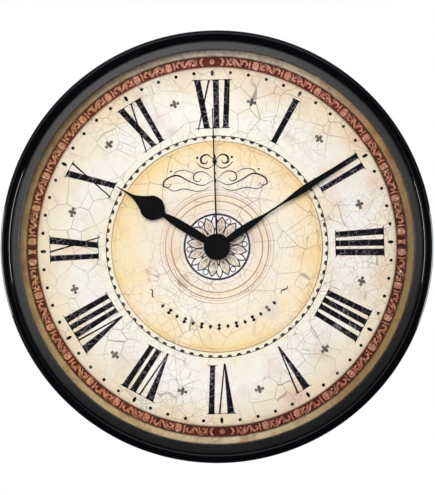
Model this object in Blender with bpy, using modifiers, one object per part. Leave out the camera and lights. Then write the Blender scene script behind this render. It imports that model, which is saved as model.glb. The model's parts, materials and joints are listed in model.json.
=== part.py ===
"""Round battery wall clock, 305 mm across, as an assembly of separate pieces.

Every piece is modelled in a dial frame: X to the right, Y up the dial, Z towards the viewer.
The empty "clock_frame" stands that frame up, so the dial faces -Y in the world and +Z is up.
The origin is on the hands' axis, halfway between the wall plane and the crest of the bezel.
"""

import math

import bmesh
import bpy

MM = 0.001

# ---------------------------------------------------------------- driving dimensions (metres)
CLOCK_RADIUS = 152.5 * MM
CLOCK_DEPTH = 42.0 * MM
FRONT = CLOCK_DEPTH / 2
WALL_PLANE = -CLOCK_DEPTH / 2
FIT_GAP = 0.3 * MM
TURNED_STEPS = 60

# bezel
BEAD_RADIUS = 3.6 * MM
BEAD_CENTRE_R = CLOCK_RADIUS - BEAD_RADIUS
BEAD_CENTRE_Z = FRONT - BEAD_RADIUS
RING_OUTER_R = 145.2 * MM
RING_OUTER_Z = 17.7 * MM
SIGHT_RADIUS = 139.4 * MM
RING_INNER_Z = 19.3 * MM
BEZEL_BORE = 142.4 * MM
BEZEL_WAIST_R = 151.4 * MM
BEZEL_WAIST_Z = 9.0 * MM
BEZEL_REAR_R = 150.2 * MM
BEZEL_REAR_Z = -8.3 * MM
RING_INNER_CHAMFER = 0.5 * MM
CHANNEL_INNER_R = 144.2 * MM
CHANNEL_OUTER_R = 148.2 * MM
CHANNEL_TOP_Z = 11.0 * MM
BOSS_PITCH_R = 146.2 * MM
BOSS_RADIUS = 3.0 * MM
BOSS_TOP_Z = 6.0 * MM

# lens, spacer and dial stack, seen from the front backwards
LENS_RADIUS = 142.0 * MM
LENS_FRONT_Z = 17.0 * MM
LENS_THICKNESS = 1.5 * MM
DIAL_FRONT_Z = 5.0 * MM
DIAL_THICKNESS = 1.0 * MM
DIAL_HOLE_R = 4.4 * MM

# rear case
CASE_FLANGE_R = 149.3 * MM
CASE_FLANGE_FRONT_Z = -8.6 * MM
CASE_FLANGE_REAR_Z = -10.8 * MM
CLAMP_WALL_OUTER_R = 141.6 * MM
CLAMP_WALL_INNER_R = 139.6 * MM
CASE_SLOPE_OUTER_R = 137.0 * MM
CASE_SLOPE_INNER_TOP_R = 135.0 * MM
CASE_SLOPE_INNER_LOW_R = 125.0 * MM
CASE_FLOOR_FRONT_Z = -15.7 * MM
CASE_FLOOR_REAR_Z = -17.9 * MM
CASE_RIM_OUTER_R = 126.0 * MM
CASE_RIM_INNER_R = 119.5 * MM
CASE_OPENING_R = 60.0 * MM

# screws
SCREW_COUNT = 6
SCREW_HEAD_R = 2.5 * MM
SCREW_HEAD_HEIGHT = 1.5 * MM
SCREW_SHAFT_R = 1.25 * MM
SCREW_HOLE_R = 1.6 * MM
CASE_SCREW_LENGTH = 10.0 * MM
HANGER_SCREW_LENGTH = 6.0 * MM
SCREW_SIDES = 12

# hanger plate with its keyhole
HANGER_Y = 104.0 * MM
HANGER_WIDTH = 40.0 * MM
HANGER_HEIGHT = 24.0 * MM
HANGER_FRONT_Z = CASE_FLOOR_REAR_Z - FIT_GAP
HANGER_THICKNESS = 1.0 * MM
HANGER_SCREW_X = 15.0 * MM
KEYHOLE_ENTRY_R = 4.5 * MM
KEYHOLE_SLOT_R = 2.5 * MM
KEYHOLE_ENTRY_Y = -4.5 * MM
KEYHOLE_SLOT_Y = 7.0 * MM
NAIL_WINDOW_WIDTH = 16.0 * MM
NAIL_WINDOW_HEIGHT = 20.0 * MM

# movement case
MOVEMENT_HALF = 28.0 * MM
MOVEMENT_FRONT_Z = 2.4 * MM
MOVEMENT_PLATE_THICKNESS = 1.5 * MM
MOVEMENT_REAR_Z = -14.0 * MM
MOVEMENT_WALL = 1.5 * MM
MOVEMENT_CORNER = 3.0 * MM
TUBE_OUTER_R = 4.0 * MM
TUBE_INNER_R = 2.95 * MM
TUBE_TOP_Z = 8.6 * MM
NUT_ACROSS_FLATS = 12.0 * MM
NUT_THICKNESS = 2.0 * MM
WASHER_R = 8.0 * MM
WASHER_THICKNESS = 0.5 * MM
RUBBER_WASHER_R = 10.0 * MM
RUBBER_WASHER_THICKNESS = 1.0 * MM

# battery bay, along the lower edge of the movement
CELL_RADIUS = 7.1 * MM
CELL_BODY_LENGTH = 49.2 * MM
CELL_NUB_RADIUS = 2.6 * MM
CELL_NUB_LENGTH = 1.1 * MM
CELL_Y = -19.4 * MM
CELL_Z = -6.6 * MM
BAY_HALF_WIDTH = 26.4 * MM
BAY_LOW_Y = -26.8 * MM
BAY_HIGH_Y = -12.0 * MM
CONTACT_THICKNESS = 0.4 * MM

# hands: clockwise angle from 12, and the depth of each blade
HAND_THICKNESS = 0.6 * MM
HOUR_ANGLE = 301.0
MINUTE_ANGLE = 56.4
SECOND_ANGLE = 358.1
HOUR_HAND_Z = 9.0 * MM
MINUTE_HAND_Z = 10.7 * MM
SECOND_HAND_Z = 12.4 * MM
HUB_CAP_R = 9.45 * MM
HUB_CAP_HEIGHT = 1.6 * MM

# pipes and shafts on the hands' axis
HOUR_PIPE_OUTER_R = 2.6 * MM
HOUR_PIPE_INNER_R = 2.05 * MM
HOUR_PIPE_TOP_Z = 9.7 * MM
CANNON_PIPE_OUTER_R = 1.7 * MM
CANNON_PIPE_INNER_R = 1.0 * MM
CANNON_PIPE_TOP_Z = 11.5 * MM
SECONDS_SHAFT_R = 0.6 * MM
ARBOR_R = 0.35 * MM
ARBOR_FRONT_Z = 0.6 * MM
ARBOR_REAR_Z = -12.2 * MM

# gears: teeth and module; a pair that meshes shares its module
MODULE_MOTION = 0.4 * MM
MODULE_THIRD = 0.25 * MM
MODULE_CENTRE = 8.5 / 36 * MM
MODULE_FIFTH = 0.31 * MM
MODULE_ROTOR = 0.25 * MM
CANNON_TEETH = 10
MOTION_WHEEL_TEETH = 30
MOTION_PINION_TEETH = 8
HOUR_WHEEL_TEETH = 32
SET_PINION_TEETH = 10
SECONDS_PINION_TEETH = 8
THIRD_WHEEL_TEETH = 60
THIRD_PINION_TEETH = 8
CENTRE_WHEEL_TEETH = 64
SECONDS_WHEEL_TEETH = 48
FIFTH_PINION_TEETH = 8
FIFTH_WHEEL_TEETH = 40
ROTOR_PINION_TEETH = 8
ADDENDUM = 0.95
DEDENDUM = 1.2
ROOT_SHARE = 0.64
TIP_SHARE = 0.20

# rear and front face of each toothed disc
HOUR_WHEEL_LEVEL = (-0.5 * MM, 0.5 * MM)
CANNON_PINION_LEVEL = (-2.1 * MM, -0.9 * MM)
MOTION_WHEEL_LEVEL = (-1.9 * MM, -1.1 * MM)
MOTION_PINION_LEVEL = (-1.3 * MM, 0.45 * MM)
SECONDS_WHEEL_LEVEL = (-6.1 * MM, -5.3 * MM)
SECONDS_PINION_LEVEL = (-5.5 * MM, -3.7 * MM)
THIRD_WHEEL_LEVEL = (-4.7 * MM, -3.9 * MM)
THIRD_PINION_LEVEL = (-4.1 * MM, -2.4 * MM)
CENTRE_WHEEL_LEVEL = (-3.3 * MM, -2.5 * MM)
FIFTH_WHEEL_LEVEL = (-7.5 * MM, -6.7 * MM)
FIFTH_PINION_LEVEL = (-6.9 * MM, -5.1 * MM)
ROTOR_PINION_LEVEL = (-8.0 * MM, -6.5 * MM)
ROTOR_MAGNET_LEVEL = (-11.0 * MM, -7.9 * MM)

# directions of the arbors from the hands' axis, degrees anticlockwise from +X
MOTION_DIRECTION = 0.0
SET_DIRECTION = 0.0
THIRD_DIRECTION = 180.0
FIFTH_DIRECTION = 75.0
ROTOR_DIRECTION = 45.0

# motor
ROTOR_MAGNET_R = 3.0 * MM
STATOR_HOLE_R = 3.5 * MM
STATOR_FRONT_Z = -9.4 * MM
STATOR_THICKNESS = 0.6 * MM
COIL_Y = 21.4 * MM
COIL_Z = -8.8 * MM
COIL_START_X = -10.2 * MM
COIL_END_X = 7.6 * MM
COIL_RADIUS = 3.3 * MM

# set wheel at the back
SET_KNOB_R = 6.0 * MM
SET_KNOB_FRONT_Z = MOVEMENT_REAR_Z - FIT_GAP
SET_KNOB_THICKNESS = 2.4 * MM
SET_SHAFT_R = 1.2 * MM

COLOURS = {
    "black_gloss": ((0.010, 0.010, 0.012), 0.0, 0.12),
    "black_satin": ((0.018, 0.018, 0.018), 0.0, 0.45),
    "clear": ((0.95, 0.97, 0.97), 0.0, 0.05),
    "dial_print": ((0.86, 0.78, 0.64), 0.0, 0.60),
    "hand_black": ((0.008, 0.008, 0.009), 0.3, 0.35),
    "case_black": ((0.025, 0.025, 0.026), 0.0, 0.55),
    "steel": ((0.60, 0.60, 0.61), 1.0, 0.30),
    "brass": ((0.78, 0.57, 0.25), 1.0, 0.30),
    "rubber": ((0.020, 0.020, 0.020), 0.0, 0.80),
    "gear_white": ((0.82, 0.81, 0.77), 0.0, 0.45),
    "copper": ((0.72, 0.33, 0.17), 1.0, 0.35),
    "board_green": ((0.05, 0.22, 0.10), 0.0, 0.45),
    "cell_wrap": ((0.45, 0.30, 0.08), 0.3, 0.35),
}


# ---------------------------------------------------------------- scene, collections, materials
def clear_scene():
    for old in list(bpy.data.objects):
        bpy.data.objects.remove(old, do_unlink=True)


def new_collection(name):
    collection = bpy.data.collections.new(name)
    bpy.context.scene.collection.children.link(collection)
    return collection


clear_scene()
PARTS = new_collection("schoolhouse_wall_clock")
CUTTERS = new_collection("cutters")
CUTTERS.hide_render = True

CLOCK_FRAME = bpy.data.objects.new("clock_frame", None)
CLOCK_FRAME.rotation_euler = (math.pi / 2, 0.0, 0.0)
PARTS.objects.link(CLOCK_FRAME)


def principled(name, colour_key):
    colour, metallic, roughness = COLOURS[colour_key]
    material = bpy.data.materials.new(name)
    material.use_nodes = True
    shader = material.node_tree.nodes["Principled BSDF"]
    shader.inputs["Base Color"].default_value = (*colour, 1.0)
    shader.inputs["Metallic"].default_value = metallic
    shader.inputs["Roughness"].default_value = roughness
    material.diffuse_color = (*colour, 1.0)
    return material


def place(obj, colour_key, location=(0.0, 0.0, 0.0), turn_z=0.0):
    """Give a finished piece its material, its place in the dial frame and its parent."""
    obj.data.materials.clear()
    obj.data.materials.append(principled(obj.name + "_material", colour_key))
    obj.location = location
    obj.rotation_euler = (0.0, 0.0, turn_z)
    obj.parent = CLOCK_FRAME
    if obj.name not in PARTS.objects:
        PARTS.objects.link(obj)
    return obj


def as_cutter(obj):
    """A helper solid: parented like a piece, but drawn as wire and left out of the model."""
    obj.hide_render = True
    obj.display_type = "WIRE"
    obj.parent = CLOCK_FRAME
    CUTTERS.objects.link(obj)
    return obj


# ---------------------------------------------------------------- shape helpers
def circle_points(radius, sides, centre=(0.0, 0.0)):
    points = []
    for index in range(sides):
        angle = 2 * math.pi * index / sides
        points.append((centre[0] + radius * math.cos(angle), centre[1] + radius * math.sin(angle)))
    return points


def arc_points(radius, start_degrees, end_degrees, count, centre=(0.0, 0.0)):
    points = []
    for index in range(count):
        angle = math.radians(start_degrees + (end_degrees - start_degrees) * index / (count - 1))
        points.append((centre[0] + radius * math.cos(angle), centre[1] + radius * math.sin(angle)))
    return points


def rounded_box_points(half_x, half_y, corner, centre=(0.0, 0.0), corner_points=4):
    points = []
    for sign_x, sign_y, start in ((1, 1, 0), (-1, 1, 90), (-1, -1, 180), (1, -1, 270)):
        middle = (centre[0] + sign_x * (half_x - corner), centre[1] + sign_y * (half_y - corner))
        points += arc_points(corner, start, start + 90, corner_points, middle)
    return points


def plate_mesh(name, outlines, low_z, high_z):
    """A flat plate between two depths; the first outline is the edge, the rest are holes."""
    curve = bpy.data.curves.new(name + "_outline", "CURVE")
    curve.dimensions = "2D"
    curve.fill_mode = "BOTH"
    curve.extrude = (high_z - low_z) / 2
    for outline in outlines:
        spline = curve.splines.new("POLY")
        spline.points.add(len(outline) - 1)
        for point, (x, y) in zip(spline.points, outline):
            point.co = (x, y, 0.0, 1.0)
        spline.use_cyclic_u = True
    holder = bpy.data.objects.new(name + "_holder", curve)
    CUTTERS.objects.link(holder)
    bpy.context.view_layer.update()
    evaluated = holder.evaluated_get(bpy.context.evaluated_depsgraph_get())
    mesh = bpy.data.meshes.new_from_object(evaluated)
    mesh.name = name
    bpy.data.objects.remove(holder)
    body = bmesh.new()
    body.from_mesh(mesh)
    bmesh.ops.remove_doubles(body, verts=body.verts, dist=0.000001)
    bmesh.ops.translate(body, verts=body.verts, vec=(0.0, 0.0, (low_z + high_z) / 2))
    bmesh.ops.recalc_face_normals(body, faces=body.faces)
    body.to_mesh(mesh)
    body.free()
    return mesh


def plate(name, outlines, low_z, high_z):
    return bpy.data.objects.new(name, plate_mesh(name, outlines, low_z, high_z))


def turned(name, profile, closed, steps=TURNED_STEPS):
    """A turned piece: the profile (radius, depth) runs down its outer side, then back up."""
    mesh = bpy.data.meshes.new(name)
    vertices = [(radius, 0.0, depth) for radius, depth in profile]
    edges = [(index, index + 1) for index in range(len(profile) - 1)]
    if closed:
        edges.append((len(profile) - 1, 0))
    mesh.from_pydata(vertices, edges, [])
    obj = bpy.data.objects.new(name, mesh)
    screw = obj.modifiers.new("turn", "SCREW")
    screw.axis = "Z"
    screw.steps = steps
    screw.render_steps = steps
    screw.use_merge_vertices = True
    screw.merge_threshold = 0.00001
    screw.use_smooth_shade = True
    return obj


def turned_ring(name, inner, outer, low_z, high_z, steps=TURNED_STEPS):
    profile = [(inner, high_z), (outer, high_z), (outer, low_z), (inner, low_z)]
    return turned(name, profile, True, steps)


def turned_pin(name, radius, low_z, high_z, steps=12):
    profile = [(0.0, high_z), (radius, high_z), (radius, low_z), (0.0, low_z)]
    return turned(name, profile, False, steps)


def box(name, size, centre):
    mesh = bpy.data.meshes.new(name)
    body = bmesh.new()
    bmesh.ops.create_cube(body, size=1.0)
    bmesh.ops.scale(body, verts=body.verts, vec=size)
    bmesh.ops.translate(body, verts=body.verts, vec=centre)
    body.to_mesh(mesh)
    body.free()
    return bpy.data.objects.new(name, mesh)


def cut_or_join(obj, tool, operation, location=(0.0, 0.0, 0.0)):
    as_cutter(tool)
    tool.location = location
    modifier = obj.modifiers.new(operation.lower() + "_" + tool.name, "BOOLEAN")
    modifier.operation = operation
    modifier.solver = "EXACT"
    modifier.object = tool
    return obj


def join(obj, tool, location=(0.0, 0.0, 0.0)):
    return cut_or_join(obj, tool, "UNION", location)


def cut(obj, tool, location=(0.0, 0.0, 0.0)):
    return cut_or_join(obj, tool, "DIFFERENCE", location)


# ---------------------------------------------------------------- gears
def pitch_radius(teeth, module):
    return teeth * module / 2


def centre_distance(teeth_a, teeth_b, module):
    return pitch_radius(teeth_a, module) + pitch_radius(teeth_b, module)


def polar(centre, distance, degrees):
    angle = math.radians(degrees)
    return (centre[0] + distance * math.cos(angle), centre[1] + distance * math.sin(angle))


def meshed_phase(phase, teeth, other_teeth, direction):
    """Phase of a gear whose gap faces a tooth of the gear before it (degrees)."""
    lead = phase - direction
    return direction + 180.0 - lead * teeth / other_teeth + 180.0 / other_teeth


def gear_outline(teeth, module, phase):
    """Four points a tooth: two at the root circle and two at the tip."""
    root = pitch_radius(teeth, module) - DEDENDUM * module
    tip = pitch_radius(teeth, module) + ADDENDUM * module
    half_pitch = math.pi / teeth
    points = []
    for index in range(teeth):
        middle = math.radians(phase) + 2 * half_pitch * index
        for radius, share in ((root, -ROOT_SHARE), (tip, -TIP_SHARE), (tip, TIP_SHARE), (root, ROOT_SHARE)):
            angle = middle + share * half_pitch
            points.append((radius * math.cos(angle), radius * math.sin(angle)))
    return points


def gear(name, teeth, module, phase, level, bore=0.0):
    outlines = [gear_outline(teeth, module, phase)]
    if bore:
        outlines.append(circle_points(bore, 16))
    return plate(name, outlines, *level)


MOTION_AXIS = polar((0.0, 0.0), centre_distance(CANNON_TEETH, MOTION_WHEEL_TEETH, MODULE_MOTION),
                    MOTION_DIRECTION)
SET_AXIS = polar(MOTION_AXIS, centre_distance(SET_PINION_TEETH, MOTION_WHEEL_TEETH, MODULE_MOTION),
                 SET_DIRECTION)
THIRD_AXIS = polar((0.0, 0.0), centre_distance(SECONDS_PINION_TEETH, THIRD_WHEEL_TEETH, MODULE_THIRD),
                   THIRD_DIRECTION)
FIFTH_AXIS = polar((0.0, 0.0), centre_distance(SECONDS_WHEEL_TEETH, FIFTH_PINION_TEETH, MODULE_FIFTH),
                   FIFTH_DIRECTION)
ROTOR_AXIS = polar(FIFTH_AXIS, centre_distance(FIFTH_WHEEL_TEETH, ROTOR_PINION_TEETH, MODULE_ROTOR),
                   ROTOR_DIRECTION)


# ---------------------------------------------------------------- case, lens and dial
def front_bezel():
    bead = arc_points(BEAD_RADIUS, 195, -25, 11, (BEAD_CENTRE_R, BEAD_CENTRE_Z))
    profile = bead + [
        (BEZEL_WAIST_R, BEZEL_WAIST_Z),
        (BEZEL_REAR_R, BEZEL_REAR_Z),
        (CHANNEL_OUTER_R, BEZEL_REAR_Z),
        (CHANNEL_OUTER_R, CHANNEL_TOP_Z),
        (CHANNEL_INNER_R, CHANNEL_TOP_Z),
        (CHANNEL_INNER_R, BEZEL_REAR_Z),
        (BEZEL_BORE, BEZEL_REAR_Z),
        (BEZEL_BORE, LENS_FRONT_Z + FIT_GAP),
        (SIGHT_RADIUS, LENS_FRONT_Z + FIT_GAP),
        (SIGHT_RADIUS, RING_INNER_Z - RING_INNER_CHAMFER),
        (SIGHT_RADIUS + RING_INNER_CHAMFER, RING_INNER_Z),
        (RING_OUTER_R, RING_OUTER_Z),
    ]
    bezel = turned("front_bezel", profile, True)
    for index in range(SCREW_COUNT):
        location = (*polar((0.0, 0.0), BOSS_PITCH_R, screw_direction(index)), 0.0)
        boss = turned_pin("bezel_boss_%d" % index, BOSS_RADIUS, BEZEL_REAR_Z + 0.3 * MM, BOSS_TOP_Z)
        hole = turned_pin("bezel_boss_hole_%d" % index, SCREW_HOLE_R, BEZEL_REAR_Z - MM, BOSS_TOP_Z - MM)
        join(bezel, boss, location)
        cut(bezel, hole, location)
    return place(bezel, "black_gloss")


def screw_direction(index):
    return 30.0 + 360.0 * index / SCREW_COUNT


def lens():
    return place(turned_pin("lens", LENS_RADIUS, LENS_FRONT_Z - LENS_THICKNESS, LENS_FRONT_Z,
                            TURNED_STEPS), "clear")


def dial_spacer_ring():
    ring = turned_ring("dial_spacer_ring", CLAMP_WALL_INNER_R, LENS_RADIUS,
                       DIAL_FRONT_Z + FIT_GAP, LENS_FRONT_Z - LENS_THICKNESS - FIT_GAP)
    return place(ring, "black_satin")


def dial_plate():
    dial = turned_ring("dial_plate", DIAL_HOLE_R, LENS_RADIUS, DIAL_FRONT_Z - DIAL_THICKNESS,
                       DIAL_FRONT_Z)
    return place(dial, "dial_print")


def rear_case():
    clamp_top = DIAL_FRONT_Z - DIAL_THICKNESS - FIT_GAP
    profile = [
        (CLAMP_WALL_INNER_R, clamp_top),
        (CLAMP_WALL_OUTER_R, clamp_top),
        (CLAMP_WALL_OUTER_R, CASE_FLANGE_FRONT_Z),
        (CASE_FLANGE_R, CASE_FLANGE_FRONT_Z),
        (CASE_FLANGE_R, CASE_FLANGE_REAR_Z),
        (CASE_SLOPE_OUTER_R, CASE_FLANGE_REAR_Z),
        (CASE_RIM_OUTER_R, WALL_PLANE),
        (CASE_RIM_INNER_R, WALL_PLANE),
        (CASE_RIM_INNER_R - MM, CASE_FLOOR_REAR_Z),
        (CASE_OPENING_R, CASE_FLOOR_REAR_Z),
        (CASE_OPENING_R, CASE_FLOOR_FRONT_Z),
        (CASE_SLOPE_INNER_LOW_R, CASE_FLOOR_FRONT_Z),
        (CASE_SLOPE_INNER_TOP_R, CASE_FLANGE_FRONT_Z),
        (CLAMP_WALL_INNER_R, CASE_FLANGE_FRONT_Z),
    ]
    case = turned("rear_case", profile, True)
    for index in range(SCREW_COUNT):
        location = (*polar((0.0, 0.0), BOSS_PITCH_R, screw_direction(index)), 0.0)
        hole = turned_pin("case_screw_hole_%d" % index, SCREW_HOLE_R,
                          CASE_FLANGE_REAR_Z - MM, CASE_FLANGE_FRONT_Z + MM)
        cut(case, hole, location)
    for side in (-1, 1):
        hole = turned_pin("hanger_screw_hole_%d" % side, SCREW_HOLE_R,
                          CASE_FLOOR_REAR_Z - MM, CASE_FLOOR_FRONT_Z + MM)
        cut(case, hole, (side * HANGER_SCREW_X, HANGER_Y, 0.0))
    window = box("nail_window", (NAIL_WINDOW_WIDTH, NAIL_WINDOW_HEIGHT, 6 * MM),
                 (0.0, 0.0, (CASE_FLOOR_FRONT_Z + CASE_FLOOR_REAR_Z) / 2))
    cut(case, window, (0.0, HANGER_Y, 0.0))
    return place(case, "case_black")


def keyhole_points():
    """Round entry below a narrow slot that the nail's neck slides up into."""
    lean = math.degrees(math.asin(KEYHOLE_SLOT_R / KEYHOLE_ENTRY_R))
    points = arc_points(KEYHOLE_ENTRY_R, 90 + lean, 450 - lean, 16, (0.0, KEYHOLE_ENTRY_Y))
    return points + arc_points(KEYHOLE_SLOT_R, 0, 180, 8, (0.0, KEYHOLE_SLOT_Y))


def hanger_plate():
    outlines = [
        rounded_box_points(HANGER_WIDTH / 2, HANGER_HEIGHT / 2, 3 * MM),
        keyhole_points(),
        circle_points(SCREW_HOLE_R, SCREW_SIDES, (-HANGER_SCREW_X, 0.0)),
        circle_points(SCREW_HOLE_R, SCREW_SIDES, (HANGER_SCREW_X, 0.0)),
    ]
    hanger = plate("hanger_plate", outlines, HANGER_FRONT_Z - HANGER_THICKNESS, HANGER_FRONT_Z)
    return place(hanger, "steel", (0.0, HANGER_Y, 0.0))


def screw_mesh(name, length):
    """Pan-head screw with its shaft towards +Z and a cross slot in the head."""
    profile = [
        (0.0, length),
        (SCREW_SHAFT_R * 0.5, length),
        (SCREW_SHAFT_R, length - 1.2 * MM),
        (SCREW_SHAFT_R, 0.0),
        (SCREW_HEAD_R, 0.0),
        (SCREW_HEAD_R, -0.8 * MM),
        (SCREW_HEAD_R * 0.7, -SCREW_HEAD_HEIGHT),
        (0.0, -SCREW_HEAD_HEIGHT),
    ]
    pattern = turned(name + "_pattern", profile, False, SCREW_SIDES)
    as_cutter(pattern)
    slot = (2.6 * MM, 0.6 * MM, 1.6 * MM)
    for index, size in enumerate((slot, (slot[1], slot[0], slot[2]))):
        cut(pattern, box("%s_slot_%d" % (name, index), size, (0.0, 0.0, -SCREW_HEAD_HEIGHT)))
    bpy.context.view_layer.update()
    evaluated = pattern.evaluated_get(bpy.context.evaluated_depsgraph_get())
    mesh = bpy.data.meshes.new_from_object(evaluated)
    mesh.name = name
    return mesh


def screws():
    case_mesh = screw_mesh("case_screw", CASE_SCREW_LENGTH)
    for index in range(SCREW_COUNT):
        screw = bpy.data.objects.new("case_screw_%d" % (index + 1), case_mesh)
        location = (*polar((0.0, 0.0), BOSS_PITCH_R, screw_direction(index)),
                    CASE_FLANGE_REAR_Z - FIT_GAP)
        place(screw, "steel", location, math.radians(screw_direction(index)))
    hanger_mesh = screw_mesh("hanger_screw", HANGER_SCREW_LENGTH)
    for name, side in (("hanger_screw_left", -1), ("hanger_screw_right", 1)):
        screw = bpy.data.objects.new(name, hanger_mesh)
        location = (side * HANGER_SCREW_X, HANGER_Y, HANGER_FRONT_Z - HANGER_THICKNESS - FIT_GAP)
        place(screw, "steel", location)


# ---------------------------------------------------------------- movement case and its fixing
def movement_front_plate():
    outlines = [
        rounded_box_points(MOVEMENT_HALF, MOVEMENT_HALF, MOVEMENT_CORNER),
        circle_points(TUBE_INNER_R + 0.5 * MM, 24),
    ]
    front_plate = plate("movement_front_plate", outlines,
                        MOVEMENT_FRONT_Z - MOVEMENT_PLATE_THICKNESS, MOVEMENT_FRONT_Z)
    tube = turned_ring("movement_tube", TUBE_INNER_R, TUBE_OUTER_R,
                       MOVEMENT_FRONT_Z - MOVEMENT_PLATE_THICKNESS + 0.2 * MM, TUBE_TOP_Z, 24)
    join(front_plate, tube)
    return place(front_plate, "case_black")


def movement_housing():
    front_z = MOVEMENT_FRONT_Z - MOVEMENT_PLATE_THICKNESS - FIT_GAP
    housing = plate("movement_housing", [rounded_box_points(MOVEMENT_HALF, MOVEMENT_HALF, MOVEMENT_CORNER)],
                    MOVEMENT_REAR_Z, front_z)
    inner = MOVEMENT_HALF - MOVEMENT_WALL
    partition = 1.0 * MM
    cavity_low_y = BAY_HIGH_Y + partition
    floor_z = MOVEMENT_REAR_Z + MOVEMENT_WALL
    cavity_depth = front_z - floor_z + MM
    cavity = box("gear_cavity", (2 * inner, inner - cavity_low_y, cavity_depth),
                 (0.0, (inner + cavity_low_y) / 2, floor_z + cavity_depth / 2))
    cut(housing, cavity)
    bay_depth = front_z - MOVEMENT_REAR_Z + 2 * MM
    bay = box("battery_bay", (2 * BAY_HALF_WIDTH, BAY_HIGH_Y - BAY_LOW_Y, bay_depth),
              (0.0, (BAY_HIGH_Y + BAY_LOW_Y) / 2, (front_z + MOVEMENT_REAR_Z) / 2))
    cut(housing, bay)
    knob_hole = turned_pin("set_shaft_hole", SET_SHAFT_R + 0.4 * MM, MOVEMENT_REAR_Z - MM, floor_z + MM)
    cut(housing, knob_hole, (*SET_AXIS, 0.0))
    return place(housing, "case_black")


def movement_nut():
    low_z = DIAL_FRONT_Z + WASHER_THICKNESS + 2 * FIT_GAP
    outer = circle_points(NUT_ACROSS_FLATS / math.sqrt(3), 6)
    nut = plate("movement_nut", [outer, circle_points(TUBE_OUTER_R + FIT_GAP, 24)],
                low_z, low_z + NUT_THICKNESS)
    return place(nut, "brass")


def washers():
    washer = turned_ring("nut_washer", TUBE_OUTER_R + FIT_GAP, WASHER_R, DIAL_FRONT_Z + FIT_GAP,
                         DIAL_FRONT_Z + FIT_GAP + WASHER_THICKNESS, 24)
    place(washer, "brass")
    high_z = DIAL_FRONT_Z - DIAL_THICKNESS - FIT_GAP
    rubber = turned_ring("rubber_washer", TUBE_OUTER_R + FIT_GAP, RUBBER_WASHER_R,
                         high_z - RUBBER_WASHER_THICKNESS, high_z, 24)
    place(rubber, "rubber")


# ---------------------------------------------------------------- hands
def hand_outline(hub_radius, blade):
    """A hand pointing up Y: its hub circle, then half widths at distances along the blade."""
    start_half = blade[0][1]
    lean = math.degrees(math.asin(start_half / hub_radius))
    points = arc_points(hub_radius, 90 + lean, 450 - lean, 20)
    right = [(half, distance) for distance, half in blade[1:]]
    left = [(-half, distance) for distance, half in reversed(blade[1:]) if half > 0]
    return points + right + left


def hour_hand():
    blade = [(distance * MM, half * MM) for distance, half in (
        (6.0, 2.5), (22.0, 3.1), (33.0, 3.0), (43.5, 1.9), (46.0, 4.8), (49.5, 7.8), (53.5, 8.6),
        (57.5, 7.8), (60.5, 5.6), (66.0, 2.6), (71.0, 1.0), (83.0, 0.3))]
    outlines = [hand_outline(6.5 * MM, blade), circle_points(HOUR_PIPE_OUTER_R + FIT_GAP, 16)]
    hand = plate("hour_hand", outlines, HOUR_HAND_Z, HOUR_HAND_Z + HAND_THICKNESS)
    return place(hand, "hand_black", turn_z=-math.radians(HOUR_ANGLE))


def minute_hand():
    blade = [(distance * MM, half * MM) for distance, half in (
        (5.0, 1.9), (20.0, 2.7), (28.0, 2.5), (34.5, 1.8), (42.0, 0.85), (54.0, 0.75), (60.0, 1.2),
        (67.0, 2.0), (75.0, 2.45), (83.0, 2.1), (100.0, 1.2), (119.0, 0.3))]
    outlines = [hand_outline(5.5 * MM, blade), circle_points(CANNON_PIPE_OUTER_R + FIT_GAP, 16)]
    hand = plate("minute_hand", outlines, MINUTE_HAND_Z, MINUTE_HAND_Z + HAND_THICKNESS)
    return place(hand, "hand_black", turn_z=-math.radians(MINUTE_ANGLE))


def second_hand():
    """The thin sweep hand, its round cap, and the socket that presses on the seconds shaft."""
    blade = [(distance * MM, half * MM) for distance, half in ((9.0, 0.6), (98.0, 0.35))]
    hand = plate("second_hand", [hand_outline(8.5 * MM, blade)],
                 SECOND_HAND_Z, SECOND_HAND_Z + HAND_THICKNESS)
    cap_profile = [
        (0.0, SECOND_HAND_Z + HUB_CAP_HEIGHT),
        (HUB_CAP_R * 0.6, SECOND_HAND_Z + HUB_CAP_HEIGHT - 0.15 * MM),
        (HUB_CAP_R - 0.5 * MM, SECOND_HAND_Z + HUB_CAP_HEIGHT - 0.5 * MM),
        (HUB_CAP_R, SECOND_HAND_Z + HUB_CAP_HEIGHT - MM),
        (HUB_CAP_R, SECOND_HAND_Z + 0.2 * MM),
        (0.0, SECOND_HAND_Z + 0.2 * MM),
    ]
    join(hand, turned("second_hand_cap", cap_profile, False, 32))
    return place(hand, "hand_black", turn_z=-math.radians(SECOND_ANGLE))


# ---------------------------------------------------------------- motion work
def hour_wheel():
    phase = meshed_phase(motion_phase(), MOTION_PINION_TEETH, HOUR_WHEEL_TEETH, MOTION_DIRECTION + 180)
    wheel = gear("hour_wheel", HOUR_WHEEL_TEETH, MODULE_MOTION, phase, HOUR_WHEEL_LEVEL,
                 HOUR_PIPE_INNER_R + 0.25 * MM)
    join(wheel, turned_ring("hour_pipe", HOUR_PIPE_INNER_R, HOUR_PIPE_OUTER_R, -0.4 * MM,
                            HOUR_PIPE_TOP_Z, 16))
    return place(wheel, "gear_white")


def motion_phase():
    return meshed_phase(0.0, CANNON_TEETH, MOTION_WHEEL_TEETH, MOTION_DIRECTION)


def cannon_pinion():
    pinion = gear("cannon_pinion", CANNON_TEETH, MODULE_MOTION, 0.0, CANNON_PINION_LEVEL,
                  CANNON_PIPE_INNER_R + 0.2 * MM)
    join(pinion, turned_ring("cannon_pipe", CANNON_PIPE_INNER_R, CANNON_PIPE_OUTER_R - 0.2 * MM,
                             -2.0 * MM, CANNON_PIPE_TOP_Z, 16))
    return place(pinion, "brass")


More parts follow.
